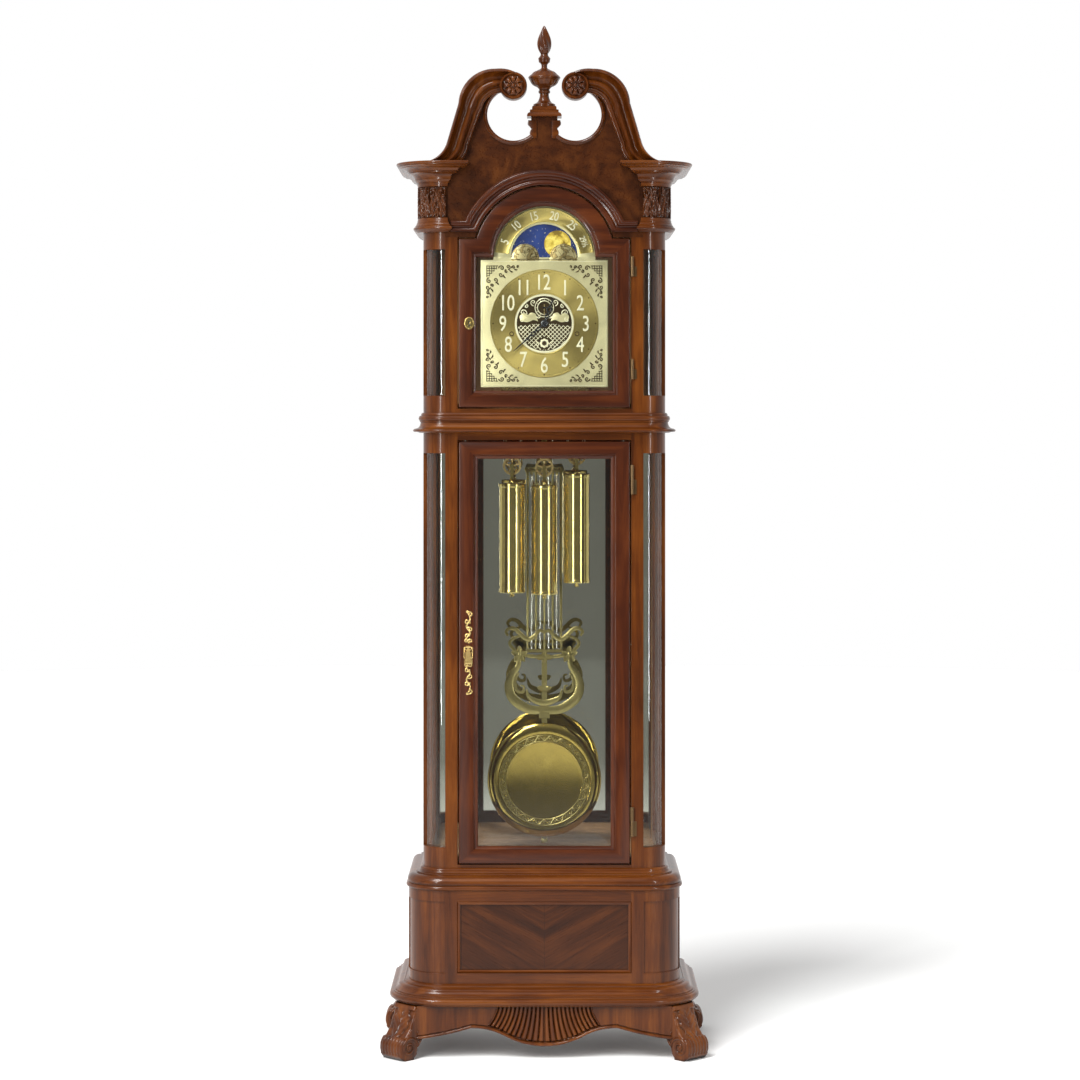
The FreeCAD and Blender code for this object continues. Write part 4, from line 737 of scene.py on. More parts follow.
def arch_detail():
    """Stepped moulding over the hood door: arch and shoulders in one sweep."""
    inner, wide, tall = 158, 34, 24
    end = FRIEZE_END - 7
    profile = outline([
        (0, 0), (0, 11), (2, 13, 2), (5, 13.5), (6, 12.5), (13, 8, -9), (17, 9.5), (18, 13), (24, 18, -7),
        (29, 20, 5.5), (33, 18, 3.5), (34, 15, 4), (34, 0)])
    rows = []
    for place in range(49):
        row = []
        for across, out in profile:
            radius = inner + across
            z = FRIEZE_Z + across * tall / wide
            y = FRONT - out
            if place == 0:
                row.append((-end, y, z))
            elif place == 48:
                row.append((end, y, z))
            else:
                first = PI - math.asin((z - ARCH_Z) / radius)
                turn = first + (PI - 2 * first) * (place - 1) / 46
                row.append((radius * math.cos(turn), y, ARCH_Z + radius * math.sin(turn)))
        rows.append(row)
    shell = Shell()
    shell.grid(rows, close_v=True, caps=True)
    shell.piece("arch_moulding_detail", "case", "door_wood", door_cross, ["arch_moulding"], 40)


mouldings()
cornices()
arch_detail()

# ---- pediment ---------------------------------------------------------------------------------

ROSE_X, ROSE_Z = 68, ROOF_Z + 165
OPEN_Z = ROOF_Z + 105


def swan_neck(shell, side):
    """Moulding between two curved edges, flowing into the scroll round the rosette."""
    boss = 30
    top = ROOF_Z
    outer = outline([(AXIS_X + 36, top), (AXIS_X - 4, top + 38, -60), (AXIS_X - 30, top + 126),
                     (ROSE_X + 37, ROSE_Z + 37, 80), (ROSE_X - 4, ROSE_Z + boss, 75)], 14)
    inner = outline([(AXIS_X - 34, top), (AXIS_X - 51, top + 38, -60), (AXIS_X - 80, top + 114),
                     (ROSE_X + 27, ROSE_Z - 13, 45), (ROSE_X + 29.6, ROSE_Z + 4, 30)], 14)
    outer, inner = resample(outer, 60), resample(inner, 60)
    cross = outline([(0, 0), (0, 36), (0.02, 42, 40), (0.05, 45), (0.10, 46), (0.13, 45)]) + [
        (0.16, 40), (0.20, 34), (0.26, 29), (0.33, 26), (0.40, 25), (0.43, 25.5), (0.45, 29),
        (0.50, 34), (0.56, 36.5), (0.62, 36.5), (0.67, 34), (0.71, 29), (0.73, 24), (0.76, 23),
        (0.79, 25), (0.83, 26), (0.87, 24.5), (0.89, 20), (0.92, 18.5), (0.96, 18), (1, 15), (1, 0)]
    rows = []
    for (ox, oz), (ix, iz) in zip(outer, inner):
        rows.append([(side * (ox + (ix - ox) * s), FRONT - out, oz + (iz - oz) * s) for s, out in cross])
    shell.grid(rows, close_v=True, caps=True)


def rosettes(shell):
    """Turned scroll ends with a carved eight-petalled flower."""
    for side in (1, -1):
        centre = (side * ROSE_X, FRONT, ROSE_Z)
        shell.lathe([(0, 0), (30, 0), (30, 38), (29, 41), (27.5, 43), (25.5, 43), (24, 41), (22.5, 39.5),
                     (0, 39.5)], centre, "y", 64)
        rows = []
        for ring in range(15):
            r = 22 * ring / 14
            row = []
            for k in range(96):
                angle = 2 * PI * k / 96
                petal = abs(math.cos(4 * angle)) ** 0.7
                inner = abs(math.sin(4 * angle)) ** 0.8
                rise = 5.5 * petal * math.sin(PI * min(1, max(0, (r - 5) / 17))) ** 0.8 if r > 5 else 0
                rise += 3 * inner * math.sin(PI * min(1, max(0, (r - 4) / 11))) if 4 < r < 15 else 0
                rise += 5.5 * math.sqrt(max(0, 1 - (r / 5) ** 2))
                row.append((centre[0] + r * math.cos(angle), FRONT - 39.5 - rise * 0.95,
                            ROSE_Z + r * math.sin(angle)))
            rows.append(row)
        shell.grid(rows, close_v=True)


def pediment_details():
    shell = Shell()
    for side in (1, -1):
        swan_neck(shell, side)
    shell.piece("swan_neck_mouldings", "case", "case_wood", case_wood, ["swan_necks"], 38)
    shell = Shell()
    rosettes(shell)
    shell.piece("rosette_flowers", "case", "case_wood", carved_case, (), 40)
    shell = Shell()
    for side in (1, -1):
        first, last = (math.radians(-131), math.radians(52)) if side > 0 else (math.radians(128),
                                                                               math.radians(311))
        rows = []
        for k in range(61):
            angle = first + (last - first) * k / 60
            row = []
            for r, out in ((58, 0), (57.6, 3), (59, 5), (61.5, 6), (64, 5), (65, 3.2), (66.5, 2.6), (67, 0)):
                row.append((side * ROSE_X + r * math.cos(angle), FRONT - out, OPEN_Z + r * math.sin(angle)))
            rows.append(row)
        shell.grid(rows, close_v=True, caps=True)
    shell.piece("opening_beads", "case", "case_wood", case_cross, (), 40)
    for name, side in (("right", 1), ("left", -1)):
        curve = smooth_line([(34, ROOF_Z + 91), (35, ROOF_Z + 84), (30, ROOF_Z + 78), (26, ROOF_Z + 74),
                             (30, ROOF_Z + 68), (30, ROOF_Z + 61), (25, ROOF_Z + 54)], 30)
        loop = [(side * x, z) for x, z in curve + [(18, ROOF_Z + 54), (18, ROOF_Z + 91)]]
        flat_piece(f"plinth_bracket_{name}", [loop], FRONT + 6, 10, "case", case_cross, 1.5)


def finial_details():
    low, high = span("finial_plinth")
    cy = (low[1] + high[1]) / 2
    half, deep = high[0], high[1] - cy
    rows = []
    for inset, z in ((0, 0), (0, 3), (0.8, 4), (1.6, 6.5), (4, 8), (6, 9), (7, 11), (6.2, 14), (8, 15),
                     (11, 15.5), (11.3, 21), (12.5, 23)):
        x, y = half - inset, deep - inset * 0.5
        rows.append([(-x, cy - y, low[2] + z), (x, cy - y, low[2] + z), (x, cy + y, low[2] + z),
                     (-x, cy + y, low[2] + z)])
    shell = Shell()
    shell.grid(rows, close_v=True, caps=True)
    shell.piece("finial_plinth_mouldings", "case", "case_wood", case_cross, ["finial_plinth"], 30)
    base, top = span("finial")[0][2], span("finial")[1][2]
    high = top - base
    profile = outline([
        (0, 0), (24, 0), (24, 4), (22.5, 6, 1.5), (17, 9), (12, 17, -14), (10, 26, -22), (10, 30),
        (12.5, 31.5, 1.5),
        (12.5, 33.5, 1.2), (10, 35.5, 1.5), (11.5, 38), (20, 45, -14), (31, 56, 18), (33, 60), (34, 62, 1.5),
        (34, 66.5, 2.5), (32, 69), (28, 72), (18, 79, 16), (8, 84), (6.3, 88, -6), (6.5, 92), (12, 98, -10),
        (12.8, 104), (12.5, 108, 3), (9, 112), (8, 116)], 5)

    def lobes(radius, angle, z):
        if 44 < z < 60 or 70 < z < 80:
            return radius * (1 - 0.055 * (0.5 - 0.5 * math.cos(16 * angle)))
        return radius

    shell = Shell()
    shell.lathe(profile, (0, cy, base), "z", 96, lobes)
    flame = []
    for k in range(34):
        t = k / 33
        z = 116 + (high - 116) * t
        flame.append((15.3 * math.sin(PI * min(1, (t * 0.93 + 0.07)) ** 0.72) ** 0.75 + 0.5, z))
    flame[-1] = (0.0, high)
    shell.lathe([(0, 114)] + flame, (0, cy, base), "z", 96,
                lambda r, a, z: r * (1 - 0.20 * (0.5 + 0.5 * math.cos(4 * a + 0.115 * (z - 116)))))
    shell.piece("finial_turned", "case", "case_wood", carved_case, ["finial"], 42)


pediment_details()
finial_details()

# ---- feet, aprons and carving -----------------------------------------------------------------


def foot_frame(kind, side):
    """Maps (reach, width, height) of a foot into the clock."""
    if kind == "front":
        d, w = math.sqrt(0.5), math.sqrt(0.5)
        return lambda r, s, z: (side * (AXIS_X + r * d - s * w), AXIS_Y - r * d - s * w, z)
    shift = AXIS_X + 206 * math.sqrt(0.5) - 169
    return lambda r, s, z: (side * (shift + r), BACK - 37 + s, z)


FOOT_LINE = [(60, 115), (122, 115), (131, 92, -52), (140, 70, -60), (153, 53.3), (169, 28, -28),
             (155, 0, -28), (127, 0), (113, 28, -28), (96, 44), (64, 88, 60)]
FOOT_HALF = 34.5
FOOT_ROUNDING = 6


def feet():
    """Four scroll feet: one outline carried across the width, its edges rounded, its knee carved."""
    line = resample(outline(FOOT_LINE + [FOOT_LINE[0]], 14), 150)[:-1]
    pts = [Vector(p) for p in line]
    normals = []
    for i in range(len(pts)):
        ahead = (pts[(i + 1) % len(pts)] - pts[i - 1]).normalized()
        normals.append(Vector((-ahead.y, ahead.x)))
    middle = Vector((120, 50))
    flip = 1 if (pts[30] - middle).dot(normals[30]) > 0 else -1
    columns = 61
    shell = Shell()
    for kind in ("front", "rear"):
        for side in (1, -1):
            place = foot_frame(kind, side)
            rows = []
            for c in range(columns):
                s = -FOOT_HALF + 2 * FOOT_HALF * c / (columns - 1)
                edge = max(0, abs(s) - (FOOT_HALF - FOOT_ROUNDING)) / FOOT_ROUNDING
                row = []
                for p, n in zip(pts, normals):
                    depth = FOOT_ROUNDING * (1 - math.sqrt(max(0, 1 - min(1, edge) ** 2)))
                    front = p.x > 112 + (p.y - 28) * 0.2 and 12 < p.y < 113
                    if front:
                        depth += leaf_depth(s, p)
                    if p.y < 0.5:
                        depth = min(depth, 0.001)
                    q = p - n * flip * depth
                    row.append(place(q.x, s, max(q.y, 0)))
                rows.append(row)
            shell.grid(rows, close_v=True, caps=True)
            for face in (1, -1):
                scroll_relief(shell, place, face)
    shell.piece("feet_carved", "case", "case_wood", carved_case, ["scroll_feet"], 48)


def leaf_depth(s, p):
    """How deep the knee is cut round its acanthus leaf."""
    along = (113 - p.y) / 100
    if along < 0.62:
        half = 27 * math.sin(PI * (0.10 + 0.82 * along / 0.62)) ** 0.8
        lobe = 1 - 0.20 * (0.5 + 0.5 * math.cos(along * 40))
        edge = abs(s) / max(half * lobe, 0.1)
        if edge < 1:
            side_veins = 0.5 + 0.5 * math.cos(along * 46 + abs(s) * 0.42)
            vein = 1.3 * math.exp(-(s / 1.3) ** 2) + side_veins
            return 0.3 + vein * (1 - 0.4 * edge) + 0.9 * edge ** 3
        return 4.2
    return 1.2 + 1.5 * (0.5 + 0.5 * math.cos(s * 2 * PI / 9.5))


def scroll_relief(shell, place, face):
    """Volute and C-scroll bands on one cheek of a foot."""
    at = face * 34.8
    turns = spiral(141, 28, 24.5, 3.2, PI, -2.35, 78)
    lead = smooth_line([(80, 113), (93, 98), (101, 78), (103, 58), (107, 42), turns[0]], 30)
    line = lead[:-1] + turns
    radii = [1.9 + 1.5 * min(1, k / 25) for k in range(29)] + [3.4 - 1.4 * k / 77 for k in range(78)]
    shell.tube([place(r, at - face * (radius - 2.0), z) for (r, z), radius in zip(line, radii)], radii, 10)
    second = smooth_line([(95, 113), (105, 98), (111, 82), (113, 68), (118, 58)], 24)
    shell.tube([place(r, at - face * 0.3, z) for r, z in second], [1.9] * 24, 8)
    eye = [[place(141 + q * math.cos(PI * k / 12), at + face * rise, 28 + q * math.sin(PI * k / 12))
            for k in range(24)] for q, rise in ((5.4, -1.0), (5.2, 0.6), (3.4, 1.9), (0.4, 2.4))]
    shell.grid(eye, close_v=True, caps=True)
    for k in range(4):
        start = (112 - 3 * k, 66 + 11 * k)
        leaf = smooth_line([start, (start[0] - 8, start[1] + 1), (start[0] - 17, start[1] + 9),
                            (start[0] - 22, start[1] + 20)], 14)
        shell.tube([place(r, at - face * 0.9, z) for r, z in leaf],
                   [0.8 + 2.0 * math.sin(PI * j / 13) for j in range(14)], 8)


def lower_edge(points, count):
    line = resample(outline(points, 24), count)
    return [p[0] for p in line], [p[1] for p in line]


def apron_board(shell, along, edge, put_point, fan):
    """A board with a beaded, shaped lower edge, and a carved fan of flutes where fan is set."""
    xs, zs = edge
    columns = int((along[1] - along[0]) / (1.1 if fan else 3))
    rows_up = 56 if fan else 22
    top = SKIRT_Z
    rows = []
    for c in range(columns + 1):
        x = along[0] + (along[1] - along[0]) * c / columns
        low = float(np.interp(x, xs, zs))
        row = [put_point(x, 18, top)]
        for k in range(rows_up + 1):
            t = k / rows_up
            z = top + (low - top) * t
            above = z - low
            if above < 7:
                out = 3.5 * math.sqrt(max(0, 1 - ((above - 3.5) / 3.5) ** 2)) + (1.2 if above < 6.6 else 0)
            else:
                out = 0.6 if above < 8.6 else 1.8
                if fan:
                    out = fan_height(x, z, above, out)
            row.append(put_point(x, 4.8 - out, z))
        row.append(put_point(x, 18, low))
        rows.append(row)
    shell.grid(rows, close_v=True, caps=True)


FLUTES = 11.5


def fan_height(x, z, above, ground):
    """Height of the fan's ridges, which flare outwards as they come down."""
    drop = min(1.0, (SKIRT_Z - z) / 86)
    u = abs(x) / (104 * (1 + 0.62 * drop ** 1.7))
    if u > 1 or above < 9:
        return ground
    phase = (u * FLUTES) % 1
    ridge = math.sin(PI * phase) ** 0.55
    ends = min(1, (above - 9) / 3)
    return -2.2 + 6.2 * ridge * (0.25 + 0.75 * ends)


def aprons():
    face = AXIS_Y - 110
    end = AXIS_X + 60
    top = SKIRT_Z
    shell = Shell()
    edge = lower_edge([(-AXIS_X - 61, top - 73), (-(AXIS_X - 58), top - 48, 700),
                       (-(AXIS_X - 133), top - 66, -150),
                       (AXIS_X - 133, top - 66, 179), (AXIS_X - 58, top - 48, -150),
                       (AXIS_X + 61, top - 73, 700)], 400)
    edge = smooth_edge(edge)
    apron_board(shell, (-end, end), edge, lambda x, out, z: (x, face + out, z), True)
    outer = AXIS_X + 110
    near, far = AXIS_Y - 61, BACK - 8
    middle = (AXIS_Y + BACK) / 2
    edge = lower_edge([(near, top - 73), (middle, top - 55, 300), (far, top - 73, 300)], 200)
    for side in (1, -1):
        apron_board(shell, (near, far), edge, lambda y, out, z: (side * (outer - out), y, z), False)
    shell.piece("apron_carved", "case", "case_wood", carved_case, ["aprons"], 40)


def smooth_edge(edge):
    xs, zs = np.array(edge[0]), np.array(edge[1])
    order = np.argsort(xs)
    return xs[order], zs[order]


def frieze_carving():
    """Acanthus panels on the fronts, corners and sides of the frieze blocks."""
    low, high = FRIEZE_Z + 31, CORNICE_Z - 8
    shell = Shell()
    for side in (1, -1):
        stations = []
        x = FRIEZE_END + 5
        while x < AXIS_X:
            stations.append(("front", x))
            x += 1.0
        stations += [("corner", 90 - k) for k in range(0, 91)]
        for k in range(0, 50):
            stations.append(("side", AXIS_Y + k))
        rows = []
        run = 0
        previous = None
        for kind, value in stations:
            if kind == "front":
                point, normal = Vector((value, AXIS_Y - 62)), Vector((0, -1))
            elif kind == "corner":
                turn = math.radians(value)
                normal = Vector((math.cos(turn), -math.sin(turn)))
                point = Vector((AXIS_X, AXIS_Y)) + normal * 62
            else:
                point, normal = Vector((AXIS_X + 62, value)), Vector((1, 0))
            run += (point - previous).length if previous is not None else 0
            previous = point
            row = []
            for k in range(62):
                z = low + (high - low) * k / 61
                out = acanthus(run, k / 61) if 0 < k < 61 and run > 1 else -1.5
                place = point + normal * out
                row.append((side * place.x, place.y, z))
            rows.append(row)
        last = [(side * (AXIS_X + 60), AXIS_Y + 51, low + (high - low) * k / 61) for k in range(62)]
        rows.append(last)
        shell.grid(rows)
    shell.piece("frieze_acanthus", "case", "carved_wood", carved_wood, (), 50)


def acanthus(run, t):
    """Height of two mirrored scrolling leaves in each panel of the frieze."""
    panel = 40.0
    u = (run % panel) / panel * 2 - 1
    frame = max(abs(u), abs(t * 2 - 1))
    if frame > 0.95:
        return 1.0
    a = abs(u)
    curl = math.hypot(a - 0.52, (t - 0.76) * 1.7)
    turn = math.atan2((t - 0.76) * 1.7, a - 0.52)
    leaf = 0.5 + 0.5 * math.cos(17 * curl - 2.0 * turn)
    stem = math.exp(-((a - 0.10 - 0.5 * t ** 2) / 0.10) ** 2)
    fronds = 0.5 + 0.5 * math.cos(14 * (a * 0.8 + t) + 3 * math.sin(3 * t))
    lower = math.exp(-((t - 0.24) / 0.2) ** 2) * (0.5 + 0.5 * math.cos(11 * (a + 0.4 * t)))
    shape = max(stem, leaf * math.exp(-(curl / 0.42) ** 4), 0.75 * fronds * (1 - a * 0.5), lower)
    return -4.4 + 5.2 * shape


feet()
aprons()
frieze_carving()

# ---- panels and doors -------------------------------------------------------------------------


def ring_frame(shell, inner, outer, profile, marks):
    """Loft a profile of (share, y) between matching points of an inner and an outer loop."""
    for k in range(len(inner)):
        n = (k + 1) % len(inner)
        rows = []
        for (ix, iz), (ox, oz) in ((inner[k], outer[k]), (inner[n], outer[n])):
            rows.append([(ix + (ox - ix) * f, y, iz + (oz - iz) * f) for f, y in profile])
        shell.grid(rows, close_v=True, mark=marks[k])


DOOR_EDGE = [(0, 20), (0, 9.5), (0.0, 8.2), (0.035, 6.6), (0.09, 5.8), (0.15, 4.9), (0.19, 3.4), (0.205, 1.9),
             (0.225, 1.7), (0.245, 0.5), (0.28, 0.0), (0.93, 0.0), (0.965, 0.5), (0.985, 1.6), (1.0, 3.4),
             (1.0, 20)]


def door_profile():
    return [(f, DOOR_Y + y) for f, y in DOOR_EDGE]


def rect(x0, z0, x1, z1):
    return [(x0, z0), (x1, z0), (x1, z1), (x0, z1)]


def trunk_door():
    z0, z1 = TRUNK_DOOR
    gx0, gx1 = span("trunk_door_glass")[0], span("trunk_door_glass")[1]
    shell = Shell()
    ring_frame(shell, rect(gx0[0], gx0[2], gx1[0], gx1[2]), rect(-DOOR_HALF, z0, DOOR_HALF, z1),
               door_profile(), (1, 0, 1, 0))
    shell.piece("trunk_door_mitred", "trunk_door", "door_wood", [door_wood, door_cross],
                ["trunk_door_frame"], 26)
    bevelled_pane("trunk_door_bevelled", rect(gx0[0], gx0[2], gx1[0], gx1[2]), "trunk_door",
                  ["trunk_door_glass"], 26)


def arch_pair():
    """Matching points round the hood door's opening and outline, with grain marks."""
    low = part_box("hood_door_glass")[0]
    inner_low = low.z * 1000
    half = -low.x * 1000
    shoulder = HOOD_Z + 383
    spring = math.sqrt(155 ** 2 - 40.4 ** 2)
    first = math.asin(40.4 / 155)
    inner = [(-half, inner_low), (half, inner_low), (half, ARCH_Z), (112, ARCH_Z)]
    outer = [(-DOOR_HALF, HOOD_DOOR_Z), (DOOR_HALF, HOOD_DOOR_Z), (DOOR_HALF, shoulder), (spring, shoulder)]
    marks = [1, 0, 1, 1]
    steps = 40
    for k in range(1, steps):
        a = PI * k / steps
        b = first + (PI - 2 * first) * k / steps
        inner.append((112 * math.cos(a), ARCH_Z + 112 * math.sin(a)))
        outer.append((155 * math.cos(b), ARCH_Z + 155 * math.sin(b)))
        marks.append(1)
    inner += [(-112, ARCH_Z), (-half, ARCH_Z)]
    outer += [(-spring, shoulder), (-DOOR_HALF, shoulder)]
    marks += [1, 0]
    return inner, outer, marks


def hood_door():
    inner, outer, marks = arch_pair()
    shell = Shell()
    ring_frame(shell, inner, outer, door_profile(), marks)
    shell.piece("hood_door_mitred", "hood_door", "door_wood", [door_wood, door_cross],
                ["hood_door_frame"], 26)
    bevelled_pane("hood_door_bevelled", inner, "hood_door", ["hood_door_glass"], 14)


def bevelled_pane(name, loop, body, stands_for, wide):
    """Glass with a ground bevel round its edge, seated in the door."""
    xs = [p[0] for p in loop]
    zs = [p[1] for p in loop]
    mx, mz = (min(xs) + max(xs)) / 2, (min(zs) + max(zs)) / 2
    fx, fz = 1 - wide / ((max(xs) - min(xs)) / 2), 1 - wide / ((max(zs) - min(zs)) / 2)
    small = [(mx + (x - mx) * fx, mz + (z - mz) * fz) for x, z in loop]
    y = DOOR_Y + 9
    rows = [[(x, y + 4, z) for x, z in loop], [(x, y + 1.9, z) for x, z in loop],
            [(x, y, z) for x, z in small]]
    shell = Shell()
    shell.grid(rows, close_v=True, caps=True)
    shell.piece(name, body, "case_glass", clear_glass, stands_for, 2)


def frame_beads():
    """Small mouldings that hold the base panel."""
    low, high = span("base_front_panel")
    profile = [(0, 5.8), (0, 2), (0.3, 0.6), (0.55, 0.2), (0.8, 1.0), (1, 2.2), (1, 5.8)]
    face = low[1] - 6
    shell = Shell()
    ring_frame(shell, rect(low[0] + 7, low[2] + 7, high[0] - 7, high[2] - 7),
               rect(low[0], low[2], high[0], high[2]), [(f, face + y) for f, y in profile], (0, 1, 0, 1))
    shell.piece("base_panel_beads", "case", "case_wood", [case_cross, case_wood], (), 30)


trunk_door()
hood_door()
frame_beads()

# ---- dial -------------------------------------------------------------------------------------


def half_disc(x, z, radius, steps=32):
    """Points of the upper half of a circle, from right to left."""
    return [(x + radius * math.cos(PI * k / steps), z + radius * math.sin(PI * k / steps))
            for k in range(steps + 1)]


def numeral(text, x, z, size, y, width=0.82, name="numeral"):
    """A raised numeral centred on (x, z)."""
    curve = bpy.data.curves.new(name, "FONT")
    curve.body = text
    curve.size = size * MM
    curve.align_x = "CENTER"
    curve.extrude = 0.25 * MM
    curve.bevel_depth = 0.12 * MM
    curve.offset = 0.22 * MM
    obj = bpy.data.objects.new(name, curve)
    bpy.context.collection.objects.link(obj)
    bpy.context.view_layer.update()
    mesh = bpy.data.meshes.new_from_object(obj.evaluated_get(bpy.context.evaluated_depsgraph_get()))
    bpy.data.objects.remove(obj)
    bpy.data.curves.remove(curve)
    co = np.array([v.co for v in mesh.vertices])
    low, high = co.min(0), co.max(0)
    shift = Vector((-(low[0] + high[0]) / 2, -(low[1] + high[1]) / 2, 0))
    move = (Matrix.Translation((x * MM, (y - 0.3) * MM, z * MM)) @ Matrix.Rotation(PI / 2, 4, "X")
            @ Matrix.Diagonal((width, 1, 1, 1)) @ Matrix.Translation(shift))
    mesh.transform(move)
    return mesh


def join_meshes(name, meshes, body, slot, material):
    shell = Shell()
    for mesh in meshes:
        shell.add([tuple(c * 1000 for c in v.co) for v in mesh.vertices],
                  [tuple(p.vertices) for p in mesh.polygons])
        bpy.data.meshes.remove(mesh)
    return shell.piece(name, body, slot, material, (), 30)


def dial_plate():
    half, arch, rim = 140, 112.5, 74
    outline_pts = [(-half, HUB_Z - half), (half, HUB_Z - half), (half, HUB_Z + half), (arch, HUB_Z + half)]
    outline_pts += half_disc(0, ARCH_Z, arch, 60)
    outline_pts += [(-arch, HUB_Z + half), (-half, HUB_Z + half)]
    hole = half_disc(0, ARCH_Z, rim, 48)
    for cx in (-42, 42):
        hole += [(cx + 30 * math.cos(PI - PI * k / 24), ARCH_Z + 30 * math.sin(PI - PI * k / 24))
                 for k in range(25)]
    flat_piece("dial_face", [outline_pts, hole], DIAL_Y + 2, 2, "case", dial_brass, 0.25,
               ["dial_plate"])
    shell = Shell()
    shell.lathe([(65.8, 0), (65.8, 1.6), (66.4, 2.0), (68.4, 2.0), (69, 1.4), (115.6, 1.4), (116.4, 2.0),
                 (118.6, 2.0), (119.5, 1.3), (119.5, 0)], (0, DIAL_Y, HUB_Z), "y", 160)
    shell.piece("chapter_ring", "case", "dial_brass", ring_brass, (), 25)
    shell = Shell()
    rows = []
    for k in range(81):
        a = math.radians(6 + 168 * k / 80)
        row = []
        for r, out in ((78, 0), (78, 0.5), (79.5, 0.9), (80.5, 0.5), (106, 0.5), (107, 0.9), (109, 0.9),
                       (110, 0.4), (110, 0)):
            row.append((r * math.cos(a), DIAL_Y - out, ARCH_Z + r * math.sin(a)))
        rows.append(row)
    shell.grid(rows, close_v=True, caps=True)
    shell.piece("moon_arch_band", "case", "dial_brass", ring_brass, (), 25)
    marks = []
    for hour in range(1, 13):
        a = math.radians(hour * 30)
        marks.append(numeral(str(hour), 91.5 * math.sin(a), HUB_Z + 91.5 * math.cos(a), 48, DIAL_Y - 1.4,
                             0.72))
    for place, text in enumerate(("5", "10", "15", "20", "25", "29½")):
        a = math.radians(158 - 27.2 * place)
        tilt = a - PI / 2
        mesh = numeral(text, 0, 0, 27 if place < 5 else 18, 0, 0.75)
        mesh.transform(Matrix.Translation((94 * math.cos(a) * MM, (DIAL_Y - 0.5) * MM,
                                           (ARCH_Z + 94 * math.sin(a)) * MM)) @ Matrix.Rotation(-tilt, 4,
                                                                                                "Y"))
        marks.append(mesh)
    join_meshes("dial_numerals", marks, "case", "dial_brass", numeral_brass)
    shell = Shell()
    for minute in range(60):
        a = minute * PI / 30
        big = minute % 5 == 0
        r = 113
        centre = (r * math.sin(a), DIAL_Y - 1.4, HUB_Z + r * math.cos(a))
        shell.lathe([(1.5 if big else 0.6, 0), (1.2 if big else 0.45, 0.35), (0, 0.45)], centre, "y", 10)
    for place in range(60):
        a = math.radians(8 + 164 * place / 59)
        shell.lathe([(0.5, 0), (0.35, 0.3), (0, 0.35)],
                    (103.5 * math.cos(a), DIAL_Y - 0.5, ARCH_Z + 103.5 * math.sin(a)), "y", 8)
    for x, z in ((-72, HUB_Z - 22.7), (0, HUB_Z - 43.5), (72, HUB_Z - 22.7)):
        shell.lathe([(5.2, 0), (5.2, 2.3), (4.4, 2.6), (3.4, 2.3), (3.2, 0)], (x, DIAL_Y, z), "y", 28)
    shell.piece("dial_dots", "case", "dial_brass", dark_brass, (), 30)
    hump_plates()


def hump_plates():
    """Engraved half globes at the foot of the moon opening."""
    for side, cx in (("left", -42), ("right", 42)):
        loop = [(cx + 30 * math.cos(PI * k / 32), ARCH_Z + 30 * math.sin(PI * k / 32)) for k in range(33)]
        loop += [(cx - 30, ARCH_Z - 7), (cx + 30, ARCH_Z - 7)]
        flat_piece(f"hump_{side}", [loop], DIAL_Y + 0.05, 0.6, "case", hump_brass, 0.15)
    shell = Shell()
    for cx in (-42, 42):
        for r in (29.2, 24.5):
            shell.tube([(cx + r * math.cos(PI * k / 28), DIAL_Y - 0.6, ARCH_Z + r * math.sin(PI * k / 28))
                        for k in range(29)], 0.45, 6)
        for a in (50, 90, 130):
            shell.tube([(cx + r * math.cos(math.radians(a)) * (1 - 0.004 * r), DIAL_Y - 0.6,
                         ARCH_Z + r * math.sin(math.radians(a))) for r in range(2, 25, 2)], 0.25, 6)
    shell.tube([(-73, DIAL_Y - 0.4, ARCH_Z - 4), (73, DIAL_Y - 0.4, ARCH_Z - 4)], 0.6, 6)
    shell.piece("hump_lines", "case", "dial_brass", dark_brass, (), 40)


def engraved():
    """Brass with etched darker land shapes, invented rather than mapped."""
    paint = Paint("hump_brass")
    land = paint.noise(paint.mapped((70, 70, 70)), 1, 6, 0.6)
    coast = paint.ramp(land, [(0.46, (0.80, 0.66, 0.34)), (0.50, (0.10, 0.06, 0.02)),
                              (0.53, (0.52, 0.38, 0.16))])
    paint.wire(coast, paint.shader.inputs["Base Color"])
    fine = paint.noise(paint.mapped((500, 500, 500)), 1, 2)
    paint.wire(paint.grey(fine, 0.26, 0.4), paint.shader.inputs["Roughness"])
    paint.set(Metallic=1.0)
    paint.bump(land, 0.3, 0.0004)
    return paint.material


hump_brass = engraved()


